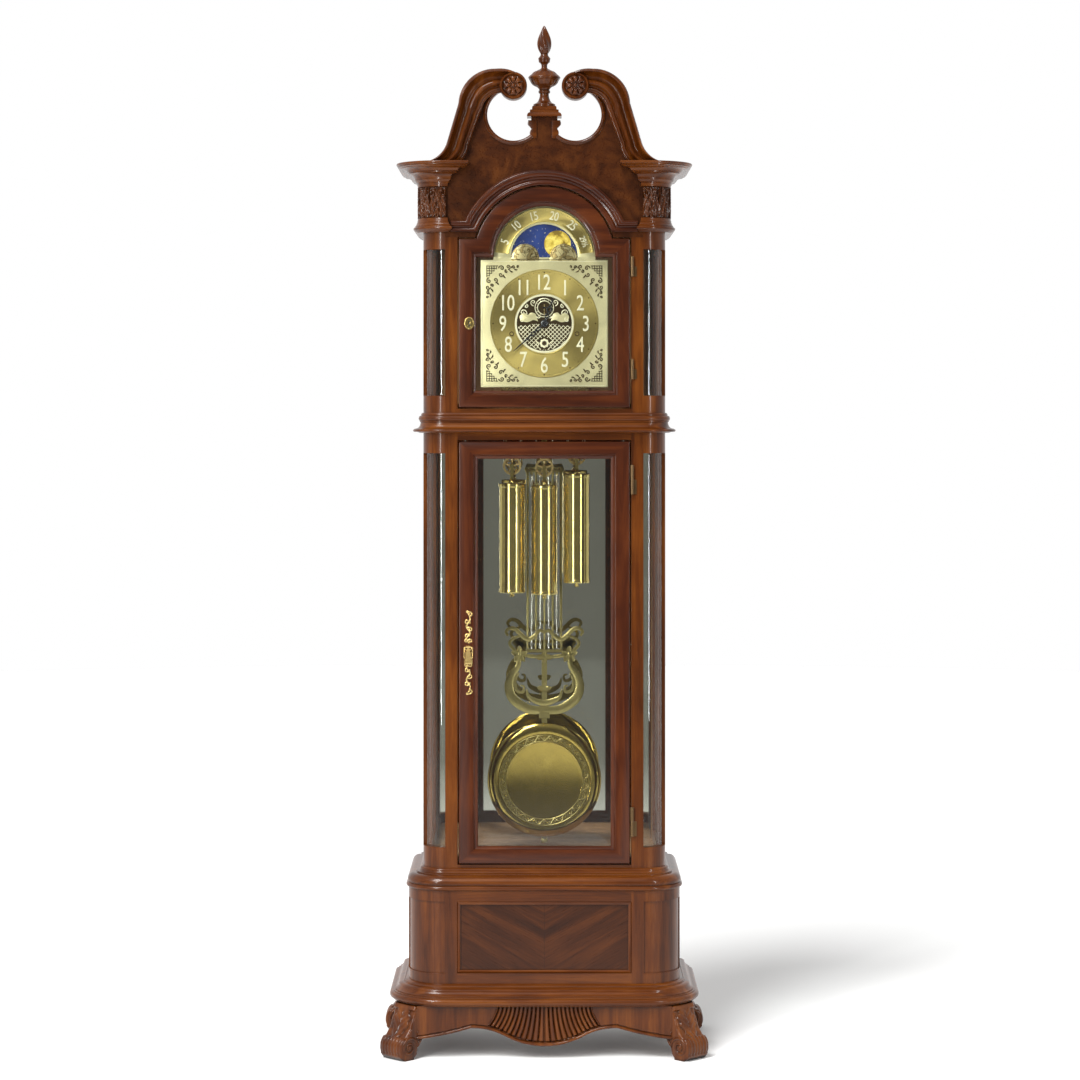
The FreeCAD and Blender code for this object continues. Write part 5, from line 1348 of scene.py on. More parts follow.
def fret():
    """Pierced centre: lattice below, scrolls above, two pale shields and the seconds ring."""
    y = DIAL_Y
    shell = Shell()
    shell.lathe([(0, 0), (65, 0), (65, 0.3), (0, 0.3)], (0, y, HUB_Z), "y", 96)
    shell.piece("fret_ground", "case", "dial_brass", dark_brass, (), 30)
    shell = Shell()
    shell.lathe([(60.5, 0.2), (61, 1.3), (64.6, 1.3), (65.4, 0.2)], (0, y, HUB_Z), "y", 120)
    pitch = 6.6
    for direction in (1, -1):
        for k in range(-16, 17):
            line = []
            for t in range(-60, 61, 3):
                x = (t + k * pitch) / math.sqrt(2)
                z = direction * (t - k * pitch) / math.sqrt(2)
                inside = math.hypot(x, z) < 60 and z < 2 - 0.12 * abs(x)
                clear = math.hypot(x, z + 43.5) > 13 and math.hypot(x, z) > 10
                if inside and clear:
                    line.append((x, y - 0.75, HUB_Z + z))
                elif len(line) > 1:
                    shell.tube(line, 0.62, 6)
                    line = []
                else:
                    line = []
            if len(line) > 1:
                shell.tube(line, 0.62, 6)
    for side in (1, -1):
        for cx, cz, r, a0, turn in ((47, 24, 9, 200, -1.4), (24, 47, 8, 270, 1.3), (40, 38, 5, 90, 1.2),
                                    (50, 8, 6, 120, 1.2), (12, 16, 5, 0, -1.1), (16, -46, 6, 60, 1.2)):
            pts = spiral(cx, cz, r, 1.2, math.radians(a0), turn, 24)
            shell.tube([(side * px, y - 0.8, HUB_Z + pz) for px, pz in pts],
                       [1.1 - 0.5 * k / 23 for k in range(24)], 6)
    for r in (20.5, 15):
        shell.tube([(r * math.cos(2 * PI * k / 48), y - 0.8, HUB_Z + 35 + r * math.sin(2 * PI * k / 48))
                    for k in range(49)], 0.9, 6)
    for k in range(12):
        a = k * PI / 6
        shell.tube([(q * math.sin(a), y - 0.8, HUB_Z + 35 + q * math.cos(a)) for q in (15.5, 20)], 0.4, 6)
    for k in range(8):
        a = 2 * PI * k / 8
        shell.lathe([(3.4, 0.3), (3.0, 0.9), (0, 1.5)],
                    (7.13 * math.cos(a), y, HUB_Z - 43.5 + 7.13 * math.sin(a)), "y", 14)
    shell.piece("fret_work", "case", "dial_brass", numeral_brass, (), 40)
    for side in (1, -1):
        loop = smooth_line([(side * 14, HUB_Z + 5), (side * 24, HUB_Z + 8), (side * 38, HUB_Z + 3),
                            (side * 52, HUB_Z + 8), (side * 53, HUB_Z + 18), (side * 44, HUB_Z + 23),
                            (side * 36, HUB_Z + 19), (side * 29, HUB_Z + 24), (side * 20, HUB_Z + 21),
                            (side * 17, HUB_Z + 13), (side * 14, HUB_Z + 5)], 60)[:-1]
        flat_piece(f"fret_shield_{'right' if side > 0 else 'left'}", [loop], y - 0.3, 0.8, "case",
                   dial_brass, 0.2)


def spandrels():
    """Cast corner pieces: lattice in the corner with scroll arms along both edges."""
    shell = Shell()
    for sx in (1, -1):
        for sz in (1, -1):
            def place(u, v, out=0.9):
                return (sx * (130 - u), DIAL_Y - out, HUB_Z + sz * (130 - v))
            for k in range(5):
                at = 3 + 5.4 * k
                reach = 30 - 0.8 * at
                shell.tube([place(at, 2), place(at, reach)], 0.75, 6)
                shell.tube([place(2, at), place(reach, at)], 0.75, 6)
            for swap in (False, True):
                for u, v, r, a0, turn in ((36, 8, 7, 180, 1.4), (50, 5, 6, 90, -1.3), (62, 6, 4.5, 160, 1.2),
                                          (34, 22, 6, 0, 1.3), (46, 15, 4, 270, -1.2), (72, 4, 2.8, 90, 1.0)):
                    pts = spiral(u, v, r, 1.1, math.radians(a0), turn, 22)
                    if swap:
                        pts = [(b, a) for a, b in pts]
                    shell.tube([place(a, b) for a, b in pts], [1.25 - 0.5 * k / 21 for k in range(22)], 6)
                for u, v, long, turn in ((57, 14, 10, 0.5), (42, 26, 9, 0.9), (67, 10, 8, 0.2)):
                    pts = [(u + long * (k / 8 - 0.5) * math.cos(turn),
                            v + long * (k / 8 - 0.5) * math.sin(turn)
                            + 1.5 * math.sin(PI * k / 8)) for k in range(9)]
                    if swap:
                        pts = [(b, a) for a, b in pts]
                    shell.tube([place(a, b) for a, b in pts],
                               [0.4 + 1.2 * math.sin(PI * k / 8) for k in range(9)], 6)
    shell.piece("spandrel_castings", "case", "dial_brass", dark_brass, (), 50)
    shell = Shell()
    edge = [(-137, -137), (137, -137), (137, 137), (-137, 137), (-137, -137)]
    for a, b in zip(edge, edge[1:]):
        shell.tube([(a[0], DIAL_Y - 0.2, HUB_Z + a[1]), (b[0], DIAL_Y - 0.2, HUB_Z + b[1])], 0.7, 6)
    shell.piece("dial_border", "case", "dial_brass", numeral_brass, (), 40)


def night_sky():
    paint = Paint("moon_sky")
    cloud = paint.noise(paint.mapped((22, 22, 22)), 1, 4)
    paint.wire(paint.ramp(cloud, [(0.3, (0.006, 0.014, 0.075)), (0.7, (0.016, 0.04, 0.19))]),
               paint.shader.inputs["Base Color"])
    paint.wire(paint.grey(cloud, 0.25, 0.4), paint.shader.inputs["Roughness"])
    paint.set(Coat_Weight=0.3)
    return paint.material


def moon_face():
    """Golden moon with soft seas and small craters."""
    paint = Paint("moon_gold")
    seas = paint.noise(paint.mapped((60, 60, 60)), 1, 4, 0.5)
    pits = paint.node("ShaderNodeTexVoronoi", feature="SMOOTH_F1")
    pits.inputs["Scale"].default_value = 260
    paint.wire(paint.coords, pits.inputs["Vector"])
    tone = paint.ramp(seas, [(0.38, (0.23, 0.14, 0.015)), (0.5, (0.62, 0.42, 0.05)),
                             (0.62, (0.86, 0.66, 0.14))])
    tone = paint.mix(paint.grey(pits.outputs["Distance"], 0.45, 0.0, 0.0, 0.35), tone, (0.18, 0.11, 0.02))
    paint.wire(tone, paint.shader.inputs["Base Color"])
    paint.wire(paint.grey(seas, 0.3, 0.5), paint.shader.inputs["Roughness"])
    paint.set(Metallic=0.25)
    paint.bump(pits.outputs["Distance"], 0.25, 0.0003)
    return paint.material


def moon():
    y = DIAL_Y + 2.5
    shell = Shell()
    shell.lathe([(0, -1.2), (77, -1.2), (78, -0.9), (78, -0.3), (77.5, 0), (0, 0)], (0, y, ARCH_Z), "y", 128)
    shell.tube([(0, y + 1.2, ARCH_Z), (0, FRONT + 57, ARCH_Z)], 2, 16)
    shell.piece("moon_wheel", "moon", "moon_paint", night_sky(), ["moon_disc"], 30)
    shell = Shell()
    a = math.radians(46)
    for turn in (0, PI):
        centre = (42 * math.cos(a + turn), y, ARCH_Z + 42 * math.sin(a + turn))
        shell.lathe([(29.6, 0), (29.5, 0.22), (0, 0.3)], centre, "y", 64)
    shell.piece("moon_faces", "moon", "moon_paint", moon_face(), (), 40)
    shell = Shell()
    stars = 0
    while stars < 130:
        r, b = 76 * math.sqrt(random.random()), 2 * PI * random.random()
        x, z = r * math.cos(b), r * math.sin(b)
        near = min(math.hypot(x - s * 42 * math.cos(a), z - s * 42 * math.sin(a)) for s in (1, -1))
        size = random.choice((0.35, 0.45, 0.6, 1.1))
        if near < 31.5:
            continue
        points = []
        for k in range(10):
            q = size * 1.5 if k % 2 == 0 else size * 0.6
            points.append((x + q * math.sin(k * PI / 5), y - 0.05, ARCH_Z + z + q * math.cos(k * PI / 5)))
        top = [(px, py - 0.15, pz) for px, py, pz in points]
        shell.grid([points, top], close_v=True, caps=True)
        stars += 1
    shell.piece("moon_stars", "moon", "moon_paint", numeral_brass, (), 30)


# ---- hands ------------------------------------------------------------------------------------


def serpentine(length, lobes):
    """Outline and piercings of a hand drawn upright: bulbs joined by slim necks, then a point."""
    side = [(1.6, 6)]
    holes = []
    for centre, wide, tall in lobes:
        side += [(1.1, centre - tall / 2 - 1.5), (wide * 0.72, centre - tall * 0.28), (wide, centre),
                 (wide * 0.72, centre + tall * 0.28), (1.1, centre + tall / 2 + 1.5)]
        holes.append([(0.5 * wide * math.cos(2 * PI * k / 20),
                       centre + 0.30 * tall * math.sin(2 * PI * k / 20))
                      for k in range(20)])
    side += [(1.3, length * 0.8), (0.25, length)]
    half = smooth_line(side, 70)
    return [half + [(-x, z) for x, z in half[::-1]]] + holes


def turned_loops(loops, angle):
    """Loops drawn upright, turned clockwise by an angle and set on the dial's centre."""
    a = math.radians(angle)
    return [[(x * math.cos(a) + z * math.sin(a), HUB_Z - x * math.sin(a) + z * math.cos(a)) for x, z in loop]
            for loop in loops]


def hand_piece(name, body, length, lobes, y, angle, hub, stands_for):
    """Makes the blade of a hand and returns the shell that its hub is added to."""
    flat_piece(name, turned_loops(serpentine(length, lobes), angle), y + 1.5, 1.1, body,
               black_steel, 0.25, stands_for)
    shell = Shell()
    shell.lathe([(0, 0), (hub, 0), (hub, 1.1), (hub - 1, 1.6), (hub * 0.55, 1.7), (0, 1.7)],
                (0, y + 1.6, HUB_Z), "y", 40)
    return shell


def hands():
    """Hour, minute and seconds hands with their hubs."""
    hour_y, minute_y = DIAL_Y - 6, DIAL_Y - 9
    shell = hand_piece("hour_hand_cut", "hour", 58, [(17, 5.5, 11), (33, 6.5, 14)], hour_y, 19, 8,
                       ["hour_hand"])
    shell.lathe([(4.4, 0), (4.4, -50)], (0, hour_y + 1.5, HUB_Z), "y", 24)
    shell.piece("hour_hub", "hour", "black_steel", black_steel, (), 30)
    shell = hand_piece("minute_hand_cut", "minute", 92, [(18, 4.5, 12), (34, 5, 14), (50, 3.6, 11)], minute_y,
                       228, 6, ["minute_hand"])
    shell.lathe([(0, 2.6), (2.4, 2.6), (2.4, -90)], (0, minute_y, HUB_Z), "y", 20)
    shell.piece("minute_hub", "minute", "black_steel", black_steel, (), 30)
    z = HUB_Z + 35
    loops = [[(-1.1, z + 8), (-0.35, z + 1.5), (-0.3, z - 16.5), (0.3, z - 16.5), (0.35, z + 1.5),
              (1.1, z + 8), (0, z + 9.5)]]
    flat_piece("seconds_blade", loops, DIAL_Y - 1.3, 0.7, "seconds", black_steel, 0.15)
    shell = Shell()
    shell.lathe([(0, 2.2), (2.2, 2.2), (2.6, 1.6), (2.6, 0.9), (0, 0.9)], (0, DIAL_Y - 0.2, z), "y", 24)
    shell.piece("seconds_hub", "seconds", "black_steel", black_steel, (), 30)


dial_plate()
fret()
spandrels()
moon()
hands()

# ---- weights, pulleys and cables --------------------------------------------------------------


def weights():
    for side, x in SIDES.items():
        low = span(side + "_weight")[0][2] + 8
        top = low + 245
        axle = sum(v[2] for v in span(side + "_pulley")) / 2
        shell = Shell()
        shell.lathe([(0, -8), (4.2, -8), (5, -7), (5, -3), (3.4, -2), (3.4, 0), (8, 0), (9, 1), (27, 1),
                     (29.4, 1.6), (30, 3), (30, 7), (29.4, 8.4), (28.8, 9), (28.8, 236), (29.4, 236.6),
                     (30, 238), (30, 242), (29.2, 244), (27, 245), (9, 245), (8, 246.5), (4.5, 247), (4, 251),
                     (3, 253), (0, 253)], (x, CABLE_Y, low), "z", 96)
        shell.block((x - 5, CABLE_Y - 9, top + 8), (x + 5, CABLE_Y + 9, top + 11.5), 1)
        for dy in (-9, 7):
            shell.block((x - 4, CABLE_Y + dy, top + 9), (x + 4, CABLE_Y + dy + 2, axle + 4.5), 0.8)
        shell.lathe([(0, -9.4), (3, -9.4), (3, -9), (2, -9), (2, 9), (3, 9), (3, 9.4), (0, 9.4)],
                    (x, CABLE_Y, axle), "y", 20)
        shell.piece(side + "_weight_shell", side + "_weight", "polished_brass", polished,
                    [side + "_weight"], 28)
        shell = Shell()
        shell.lathe([(16.6, -4.2), (20.5, -4.5), (20.5, -3.5), (17.5, -1.6), (17.3, 0), (17.5, 1.6),
                     (20.5, 3.5),
                     (20.5, 4.5), (16.6, 4.2), (15.6, 3), (15.6, -3), (16.6, -4.2)], (x, CABLE_Y, axle),
                     "y", 72)
        shell.lathe([(2.1, -4.5), (5, -4.5), (5.5, -3.5), (5.5, 3.5), (5, 4.5), (2.1, 4.5), (2.1, -4.5)],
                    (x, CABLE_Y, axle), "y", 32)
        for k in range(5):
            a = 2 * PI * k / 5 + PI / 2
            line = [(x + r * math.cos(a), CABLE_Y, axle + r * math.sin(a)) for r in (5, 8, 12, 16)]
            shell.tube(line, [2.4, 1.7, 1.7, 2.3], 10)
        shell.piece(side + "_pulley_spoked", side + "_pulley", "polished_brass", movement_brass,
                    [side + "_pulley"], 30)
        cable(side, x, axle)


def cable(side, x, axle):
    """Stranded cable: down one side of the pulley, round it and up the other."""
    top = span("cable_hanger")[0][2] - 0.3
    line = [(x - 18.5, CABLE_Y, top + (axle - top) * k / 60) for k in range(61)]
    line += [(x + 18.5 * math.cos(PI + PI * k / 24), CABLE_Y, axle + 18.5 * math.sin(PI + PI * k / 24))
             for k in range(1, 24)]
    line += [(x + 18.5, CABLE_Y, axle + (top - axle) * k / 60) for k in range(61)]
    shell = Shell()
    shell.tube(line, 0.95, 8)
    obj = mesh_piece_free(side + "_cable_strand", shell)
    obj.data.materials.append(cable_steel)
    obj.data.shade_smooth()
    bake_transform(obj)
    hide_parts(side + "_cable")


def mesh_piece_free(name, shell):
    mesh = bpy.data.meshes.new(name)
    mesh.from_pydata([tuple(c * MM for c in v) for v in shell.verts], [], shell.faces)
    obj = bpy.data.objects.new(name, mesh)
    bpy.context.collection.objects.link(obj)
    tidy(mesh)
    return obj


# ---- pendulum ---------------------------------------------------------------------------------


def pendulum():
    lyre_low, lyre_high = span("pendulum_lyre")
    bob_low, bob_high = span("pendulum_bob")
    bob_z = (bob_low[2] + bob_high[2]) / 2
    rod_low = span("pendulum_rod")[0]
    grid_top, grid_low = HOOD_Z - 119, lyre_high[2] - 62
    anchor = HOOD_Z + 263
    y = PEND_Y
    shell = Shell()
    for n in range(9):
        x = -38 + 9.5 * n
        shell.tube([(x, y, grid_low + 2), (x, y, grid_top - 6)], 2.4, 12, mark=1 if n % 2 else 0)
        shell.lathe([(0, -3), (3.4, -3), (3.6, -2), (3.6, 2), (3.4, 3), (0, 3)], (x, y, grid_top - 17), "z",
                    16)
    shell.piece("pendulum_grid", "pendulum", "lyre_brass", [lyre_brass, rod_steel], ["pendulum_rod"], 40)
    shell = Shell()
    shell.block((-6, y - 1.4, grid_top), (6, y + 1.4, anchor - 4), 0.6)
    shell.block((-6, y - 1.4, rod_low[2] + 8), (6, y + 1.4, grid_low), 0.6)
    shell.block((-42, y - 4, grid_low), (42, y + 4, grid_low + 8), 1.2)
    shell.lathe([(0, -7), (5, -7), (5, 7), (0, 7)], (0, y, anchor), "y", 28)
    shell.lathe([(0, 0), (7.4, 0), (8, 1), (8, 7), (7.4, 8), (4, 10), (0, 10)], (0, y, rod_low[2]), "z", 36,
                lambda r, a, h: r * (1 - 0.04 * (1 if math.cos(24 * a) > 0 else 0)) if r > 7 else r)
    shell.piece("pendulum_straps", "pendulum", "lyre_brass", lyre_brass, (), 30)
    bar = [(-42, grid_top - 14), (-20, grid_top - 14), (-12, grid_top - 11), (0, grid_top - 14),
           (12, grid_top - 11), (20, grid_top - 14), (42, grid_top - 14), (44, grid_top - 7), (40, grid_top),
           (22, grid_top - 2), (12, grid_top + 2), (0, grid_top + 5), (-12, grid_top + 2),
           (-22, grid_top - 2),
           (-40, grid_top), (-44, grid_top - 7)]
    holes = [ring_loop(cx, grid_top - 7, 2.6, 20) for cx in (-33, -23, 23, 33)]
    flat_piece("pendulum_head_bar", [bar] + holes, y + 4, 8, "pendulum", lyre_brass, 0.6)
    lyre(lyre_low[2], y - 4)
    bob(bob_z, y)


def lyre(low, y):
    """Flat pierced lyre built from tapering scrolls."""
    strokes = []
    for s in (1, -1):
        body = smooth_line([(s * 3, low + 4), (s * 38, low + 8), (s * 70, low + 30), (s * 80, low + 58),
                            (s * 73, low + 84), (s * 60, low + 104), (s * 56, low + 126)], 60)
        strokes.append((body, [17 + 6 * math.sin(PI * k / 59) - 8 * (k / 59) ** 2 for k in range(60)]))
        upper = smooth_line([(s * 57, low + 132), (s * 71, low + 144), (s * 78, low + 156),
                             (s * 70, low + 166),
                             (s * 56, low + 172)], 40)
        strokes.append((upper, [9 - 3 * k / 39 for k in range(40)]))
        arm = smooth_line([(0, low + 180), (s * 11, low + 184), (s * 22, low + 172), (s * 36, low + 164),
                           (s * 50, low + 172), (s * 64, low + 186), (s * 77, low + 189), (s * 86, low + 182),
                           (s * 83, low + 174)], 60)
        strokes.append((arm, [6 + 4.5 * math.sin(PI * k / 59) for k in range(60)]))
        inner = smooth_line([(s * 58, low + 88), (s * 66, low + 70), (s * 62, low + 50), (s * 48, low + 46),
                             (s * 46, low + 58), (s * 52, low + 60)], 36)
        strokes.append((inner, [4 + 4 * math.sin(PI * k / 35) for k in range(36)]))
    crescent = smooth_line([(-40, low + 52), (-34, low + 34), (-16, low + 24), (0, low + 21), (16, low + 24),
                            (34, low + 34), (40, low + 52)], 50)
    strokes.append((crescent, [2 + 12 * math.sin(PI * k / 49) ** 0.8 for k in range(50)]))
    bar = smooth_line([(-58, low + 130), (-30, low + 126), (0, low + 124), (30, low + 126),
                       (58, low + 130)], 40)
    strokes.append((bar, [5 + 3.5 * abs(math.sin(2 * PI * k / 39)) for k in range(40)]))
    shell = Shell()
    for n, (line, widths) in enumerate(strokes):
        raised_stroke(shell, line, widths, y, 2.8 - 0.05 * (n % 5))
    for sx in (-56, 56):
        for k in range(5):
            a = 2 * PI * k / 5 + PI / 2
            petal(shell, sx, low + 130, a, 20, 14, y, 5.0)
        shell.lathe([(5, 0), (5, 4.4), (3.5, 5.6), (0, 6)], (sx, y, low + 130), "y", 24)
    for k in range(3):
        petal(shell, 0, low + 50, PI / 2 + (k - 1) * 1.15, 17, 12, y, 2.6)
    for a, long in ((PI / 2, 13), (-PI / 2, 13), (0, 21), (PI, 21)):
        petal(shell, 0, low + 124, a, long, 12, y, 3.0)
    shell.block((-12, y - 2.6, low - 14), (12, y - 0.2, low + 14), 0.8)
    shell.piece("lyre_pierced", "pendulum", "lyre_brass", lyre_brass, ["pendulum_lyre"], 40)


def raised_stroke(shell, line, widths, y, thick):
    """A flat scroll with a softly crowned face and rounded ends."""
    pts = [Vector(p) for p in line]
    rows = []
    last = len(pts) - 1
    for i, p in enumerate(pts):
        ahead = (pts[min(i + 1, last)] - pts[max(i - 1, 0)]).normalized()
        side = Vector((-ahead.y, ahead.x)) * widths[i] / 2
        row = []
        for share, out in ((-1, 0), (-1, thick * 0.55), (-0.82, thick * 0.85), (0, thick),
                           (0.82, thick * 0.85),
                           (1, thick * 0.55), (1, 0)):
            q = p + side * share
            row.append((q.x, y - out, q.y))
        rows.append(row)
    shell.grid(rows, close_v=True, caps=True)
    for end in (0, last):
        r = widths[end] / 2
        shell.lathe([(r, 0), (r, thick * 0.55), (r * 0.8, thick * 0.85), (0, thick)],
                    (pts[end].x, y, pts[end].y), "y", 20)


def petal(shell, x, z, angle, long, wide, y, thick):
    rows = []
    for i in range(13):
        t = i / 12
        half = wide / 2 * math.sin(PI * min(1, 0.12 + 0.88 * t)) ** 0.7 + 0.3
        row = []
        for share in (-1, -0.6, 0, 0.6, 1):
            out = thick * (0.55 + 0.45 * abs(share) ** 2) if abs(share) < 1 else 0
            u, v = long * t, half * share
            row.append((x + u * math.cos(angle) - v * math.sin(angle), y - out,
                        z + u * math.sin(angle) + v * math.cos(angle)))
        rows.append(row)
    shell.grid(rows, close_v=True, caps=True)


def bob(centre_z, y):
    front = y - 1.5
    shell = Shell()
    shell.lathe([(0, 0), (112, 0), (122, 2), (127, 5), (128, 7.5), (127, 10), (122, 13.6), (115, 15.6),
                 (108, 16), (104.5, 15), (103.4, 13.6), (103, 12.6), (86, 12.2), (85.4, 11.4), (84, 11),
                 (0, 11.3)], (0, front, centre_z), "y", 192)
    shell.piece("bob_disc", "pendulum", "polished_brass", bob_brass, ["pendulum_bob"], 22)
    shell = Shell()
    for k in range(48):
        a = 2 * PI * k / 48
        flip = 1 if k % 2 else -1
        cx, cz = 94.5 * math.cos(a), centre_z + 94.5 * math.sin(a)
        pts = []
        for j in range(13):
            t = j / 12
            r = 94.5 + flip * 5.5 * math.sin(PI * t * 1.3 - 0.3)
            b = a + (t - 0.5) * 2 * PI / 44
            pts.append((r * math.cos(b), front - 12.8, centre_z + r * math.sin(b)))
        shell.tube(pts, [0.4 + 0.9 * math.sin(PI * (j + 1) / 14) for j in range(13)], 6)
        shell.lathe([(2.0, 12.4), (1.6, 13.4), (0, 13.9)], (cx, front, cz), "y", 10)
    for r in (87.5, 101.5):
        shell.tube([(r * math.cos(2 * PI * k / 120), front - 12.7, centre_z + r * math.sin(2 * PI * k / 120))
                    for k in range(121)], 0.8, 6)
    shell.piece("bob_engraving", "pendulum", "polished_brass", lyre_brass, (), 40)


weights()
pendulum()

# ---- door fittings ----------------------------------------------------------------------------


def door_pull():
    """Pierced scroll plate on the trunk door and the drop that hangs on it."""
    x = -(DOOR_HALF - 21)
    z0 = (TRUNK_DOOR[0] + TRUNK_DOOR[1]) / 2
    y = DOOR_Y - 1.6
    shell = Shell()
    for v in (1, -1):
        for cx, cz, r, a0, turn in ((3.5, 84, 7.5, 150, -1.25), (-3.5, 67, 7.0, -20, 1.2),
                                    (3.8, 51, 6.6, 160, -1.2), (-3.4, 37, 6.2, -10, 1.2),
                                    (4.5, 26, 4.8, 170, -1.1), (-4.5, 26, 4.8, 10, 1.1)):
            pts = spiral(x + cx, z0 + v * cz, r, 1.3, math.radians(a0) * v, turn * v, 26)
            shell.tube([(px, y, pz) for px, pz in pts], [1.9 - 0.8 * k / 25 for k in range(26)], 8)
        spine = smooth_line([(x + 2, z0 + v * 20), (x - 4, z0 + v * 32), (x + 4, z0 + v * 44),
                             (x - 4, z0 + v * 58), (x + 4, z0 + v * 74), (x - 2, z0 + v * 90)], 40)
        shell.tube([(px, y, pz) for px, pz in spine],
                   [1.2 + 0.9 * math.sin(PI * k / 39) for k in range(40)], 8)
        shell.lathe([(3.2, -1.6), (3.2, 0.4), (2.2, 1.4), (0, 1.6)], (x - 2, y, z0 + v * 90), "y", 16)
    for a, b in (((-9, 12), (9, -12)), ((-9, -12), (9, 12)), ((-9, 12), (9, 12)), ((-9, -12), (9, -12)),
                 ((-9, 12), (-9, -12)), ((9, 12), (9, -12)), ((-9, 0), (9, 0))):
        shell.tube([(x + a[0], y, z0 + a[1]), (x + b[0], y, z0 + b[1])], 1.3, 8)
    shell.piece("door_pull_scrolls", "trunk_door", "fitting_brass", fitting_brass, ["trunk_door_pull"], 50)
    shell = Shell()
    rows = []
    for z, half, near, far in ((14, 2.2, 4, 2), (10, 3.2, 6, 2.4), (0, 5.4, 8.5, 4), (-14, 8.2, 10.6, 6.5),
                               (-21, 9.6, 11.8, 7.5), (-24, 8.6, 11.2, 8)):
        rows.append([(x - half, DOOR_Y - far, z0 + z), (x - half * 0.75, DOOR_Y - near, z0 + z),
                     (x + half * 0.75, DOOR_Y - near, z0 + z), (x + half, DOOR_Y - far, z0 + z)])
    shell.grid(rows, close_v=True, caps=True)
    shell.tube([(x - 5, DOOR_Y - 3.5, z0 + 13), (x + 5, DOOR_Y - 3.5, z0 + 13)], 2.2, 12)
    shell.piece("door_pull_drop", "trunk_door", "fitting_brass", fitting_brass, (), 40)


def keyhole():
    """Oval keyhole plate on the hood door, with a beaded edge."""
    kx = -(DOOR_HALF - 23)
    oval = [(kx + 10.5 * math.cos(2 * PI * k / 40),
             HUB_Z + 13.5 * math.sin(2 * PI * k / 40)) for k in range(40)]
    hole = [(kx + 2.6 * math.cos(math.radians(a)), HUB_Z + 3 + 2.6 * math.sin(math.radians(a)))
            for a in range(-50, 231, 20)] + [(kx - 2.4, HUB_Z - 7), (kx + 2.4, HUB_Z - 7)]
    flat_piece("keyhole_escutcheon", [oval, hole], DOOR_Y - 1.6, 0.9, "hood_door",
               polished, 0.4)
    shell = Shell()
    shell.lathe([(0, 1.5), (8, 1.5), (8, 1.75), (0, 1.75)], (kx, DOOR_Y, HUB_Z - 1), "y", 20)
    shell.piece("keyhole_shadow", "hood_door", "fitting_brass", black_steel, (), 30)
    shell = Shell()
    for k in range(28):
        a = 2 * PI * k / 28
        shell.lathe([(0.8, 2.3), (0.6, 3.0), (0, 3.2)],
                    (kx + 9.2 * math.cos(a), DOOR_Y, HUB_Z + 12.2 * math.sin(a)), "y", 8)
    shell.piece("keyhole_beads", "hood_door", "fitting_brass", fitting_brass, (), 40)


door_pull()
keyhole()

# ---- carried-over CAD nodes -------------------------------------------------------------------

NODE_PAINT = {
    "base_front_frame": case_frame, "trunk_front_frame": case_frame, "hood_front_frame": case_frame,
    "base_front_panel": veneer, "base_side_panels": case_wood, "corner_blocks": case_wood,
    "side_frames": case_wood, "pediment_board": burl_wood, "back_panel": inner_wood,
    "inner_boards": inner_wood, "mirror_back": mirror_glass, "case_glass": clear_glass,
    "movement_plates": movement_brass, "chime_rods": chime_steel, "chime_hammers": movement_brass,
    "left_drum": movement_brass, "middle_drum": movement_brass, "right_drum": movement_brass,
    "pallet_anchor": rod_steel, "suspension_cock": movement_brass, "cable_hanger": movement_brass,
    "case_hinges": hinge_bronze, "trunk_door_hinges": hinge_bronze, "hood_door_hardware": hinge_bronze,
    "hood_lock_cam": hinge_bronze, "second_hand": movement_brass,
}


def paint_nodes():
    """Gives each carried-over CAD node its material."""
    for name, material in NODE_PAINT.items():
        node = frame["nodes"][name]
        if not node.material_slots:
            node.data.materials.append(material)
        for place in node.material_slots:
            place.material = material


paint_nodes()

# ---- floor, light and camera ------------------------------------------------------------------


def stage():
    """Round floor, pale near the clock and darker far in front of it: painted shade that fades the floor into
    the dim room in front.
    """
    steps = 96
    rings = (1.0, 2.0, 4.0, 7.0, 10.0)
    level = -0.2
    rows = [[(r * 1000 * math.cos(2 * PI * k / steps), r * 1000 * math.sin(2 * PI * k / steps), level)
             for k in range(steps)] for r in rings]
    shell = Shell()
    shell.grid(rows, close_v=True)
    shell.faces.append(tuple(range(steps)))
    shell.marks.append(0)
    mesh = bpy.data.meshes.new("floor")
    mesh.from_pydata([tuple(c * MM for c in v) for v in shell.verts], [], shell.faces)
    floor = bpy.data.objects.new("floor", mesh)
    bpy.context.collection.objects.link(floor)
    tidy(mesh)
    paint = Paint("floor")
    cloud = paint.noise(paint.mapped((0.8, 0.8, 0.8)), 1, 3)
    pale = paint.mix(cloud, (0.80, 0.80, 0.795), (0.83, 0.83, 0.825))
    # Painted shade: the floor's colour darkens from about 1.2 m to 5 m in front of the clock, towards the dim
    # room.
    near = paint.grey(paint.math("MULTIPLY", paint.split()[1], -0.1), 1.0, 0.0, 0.12, 0.5)
    paint.wire(paint.mix(near, (0.13, 0.127, 0.12), pale), paint.shader.inputs["Base Color"])
    paint.set(Roughness=0.75, Specular_IOR_Level=0.2)
    floor.data.materials.append(paint.material)


def area(name, place, aim, size, power, colour=(1, 1, 1), wide=None):
    """A rectangular light at a place, turned towards its aim."""
    light = bpy.data.lights.new(name, "AREA")
    light.shape = "RECTANGLE"
    light.size, light.size_y = (wide or size), size
    light.energy = power
    light.color = colour
    obj = bpy.data.objects.new(name, light)
    bpy.context.collection.objects.link(obj)
    obj.location = place
    obj.rotation_mode = "QUATERNION"
    obj.rotation_quaternion = (Vector(aim) - Vector(place)).to_track_quat("-Z", "Y")


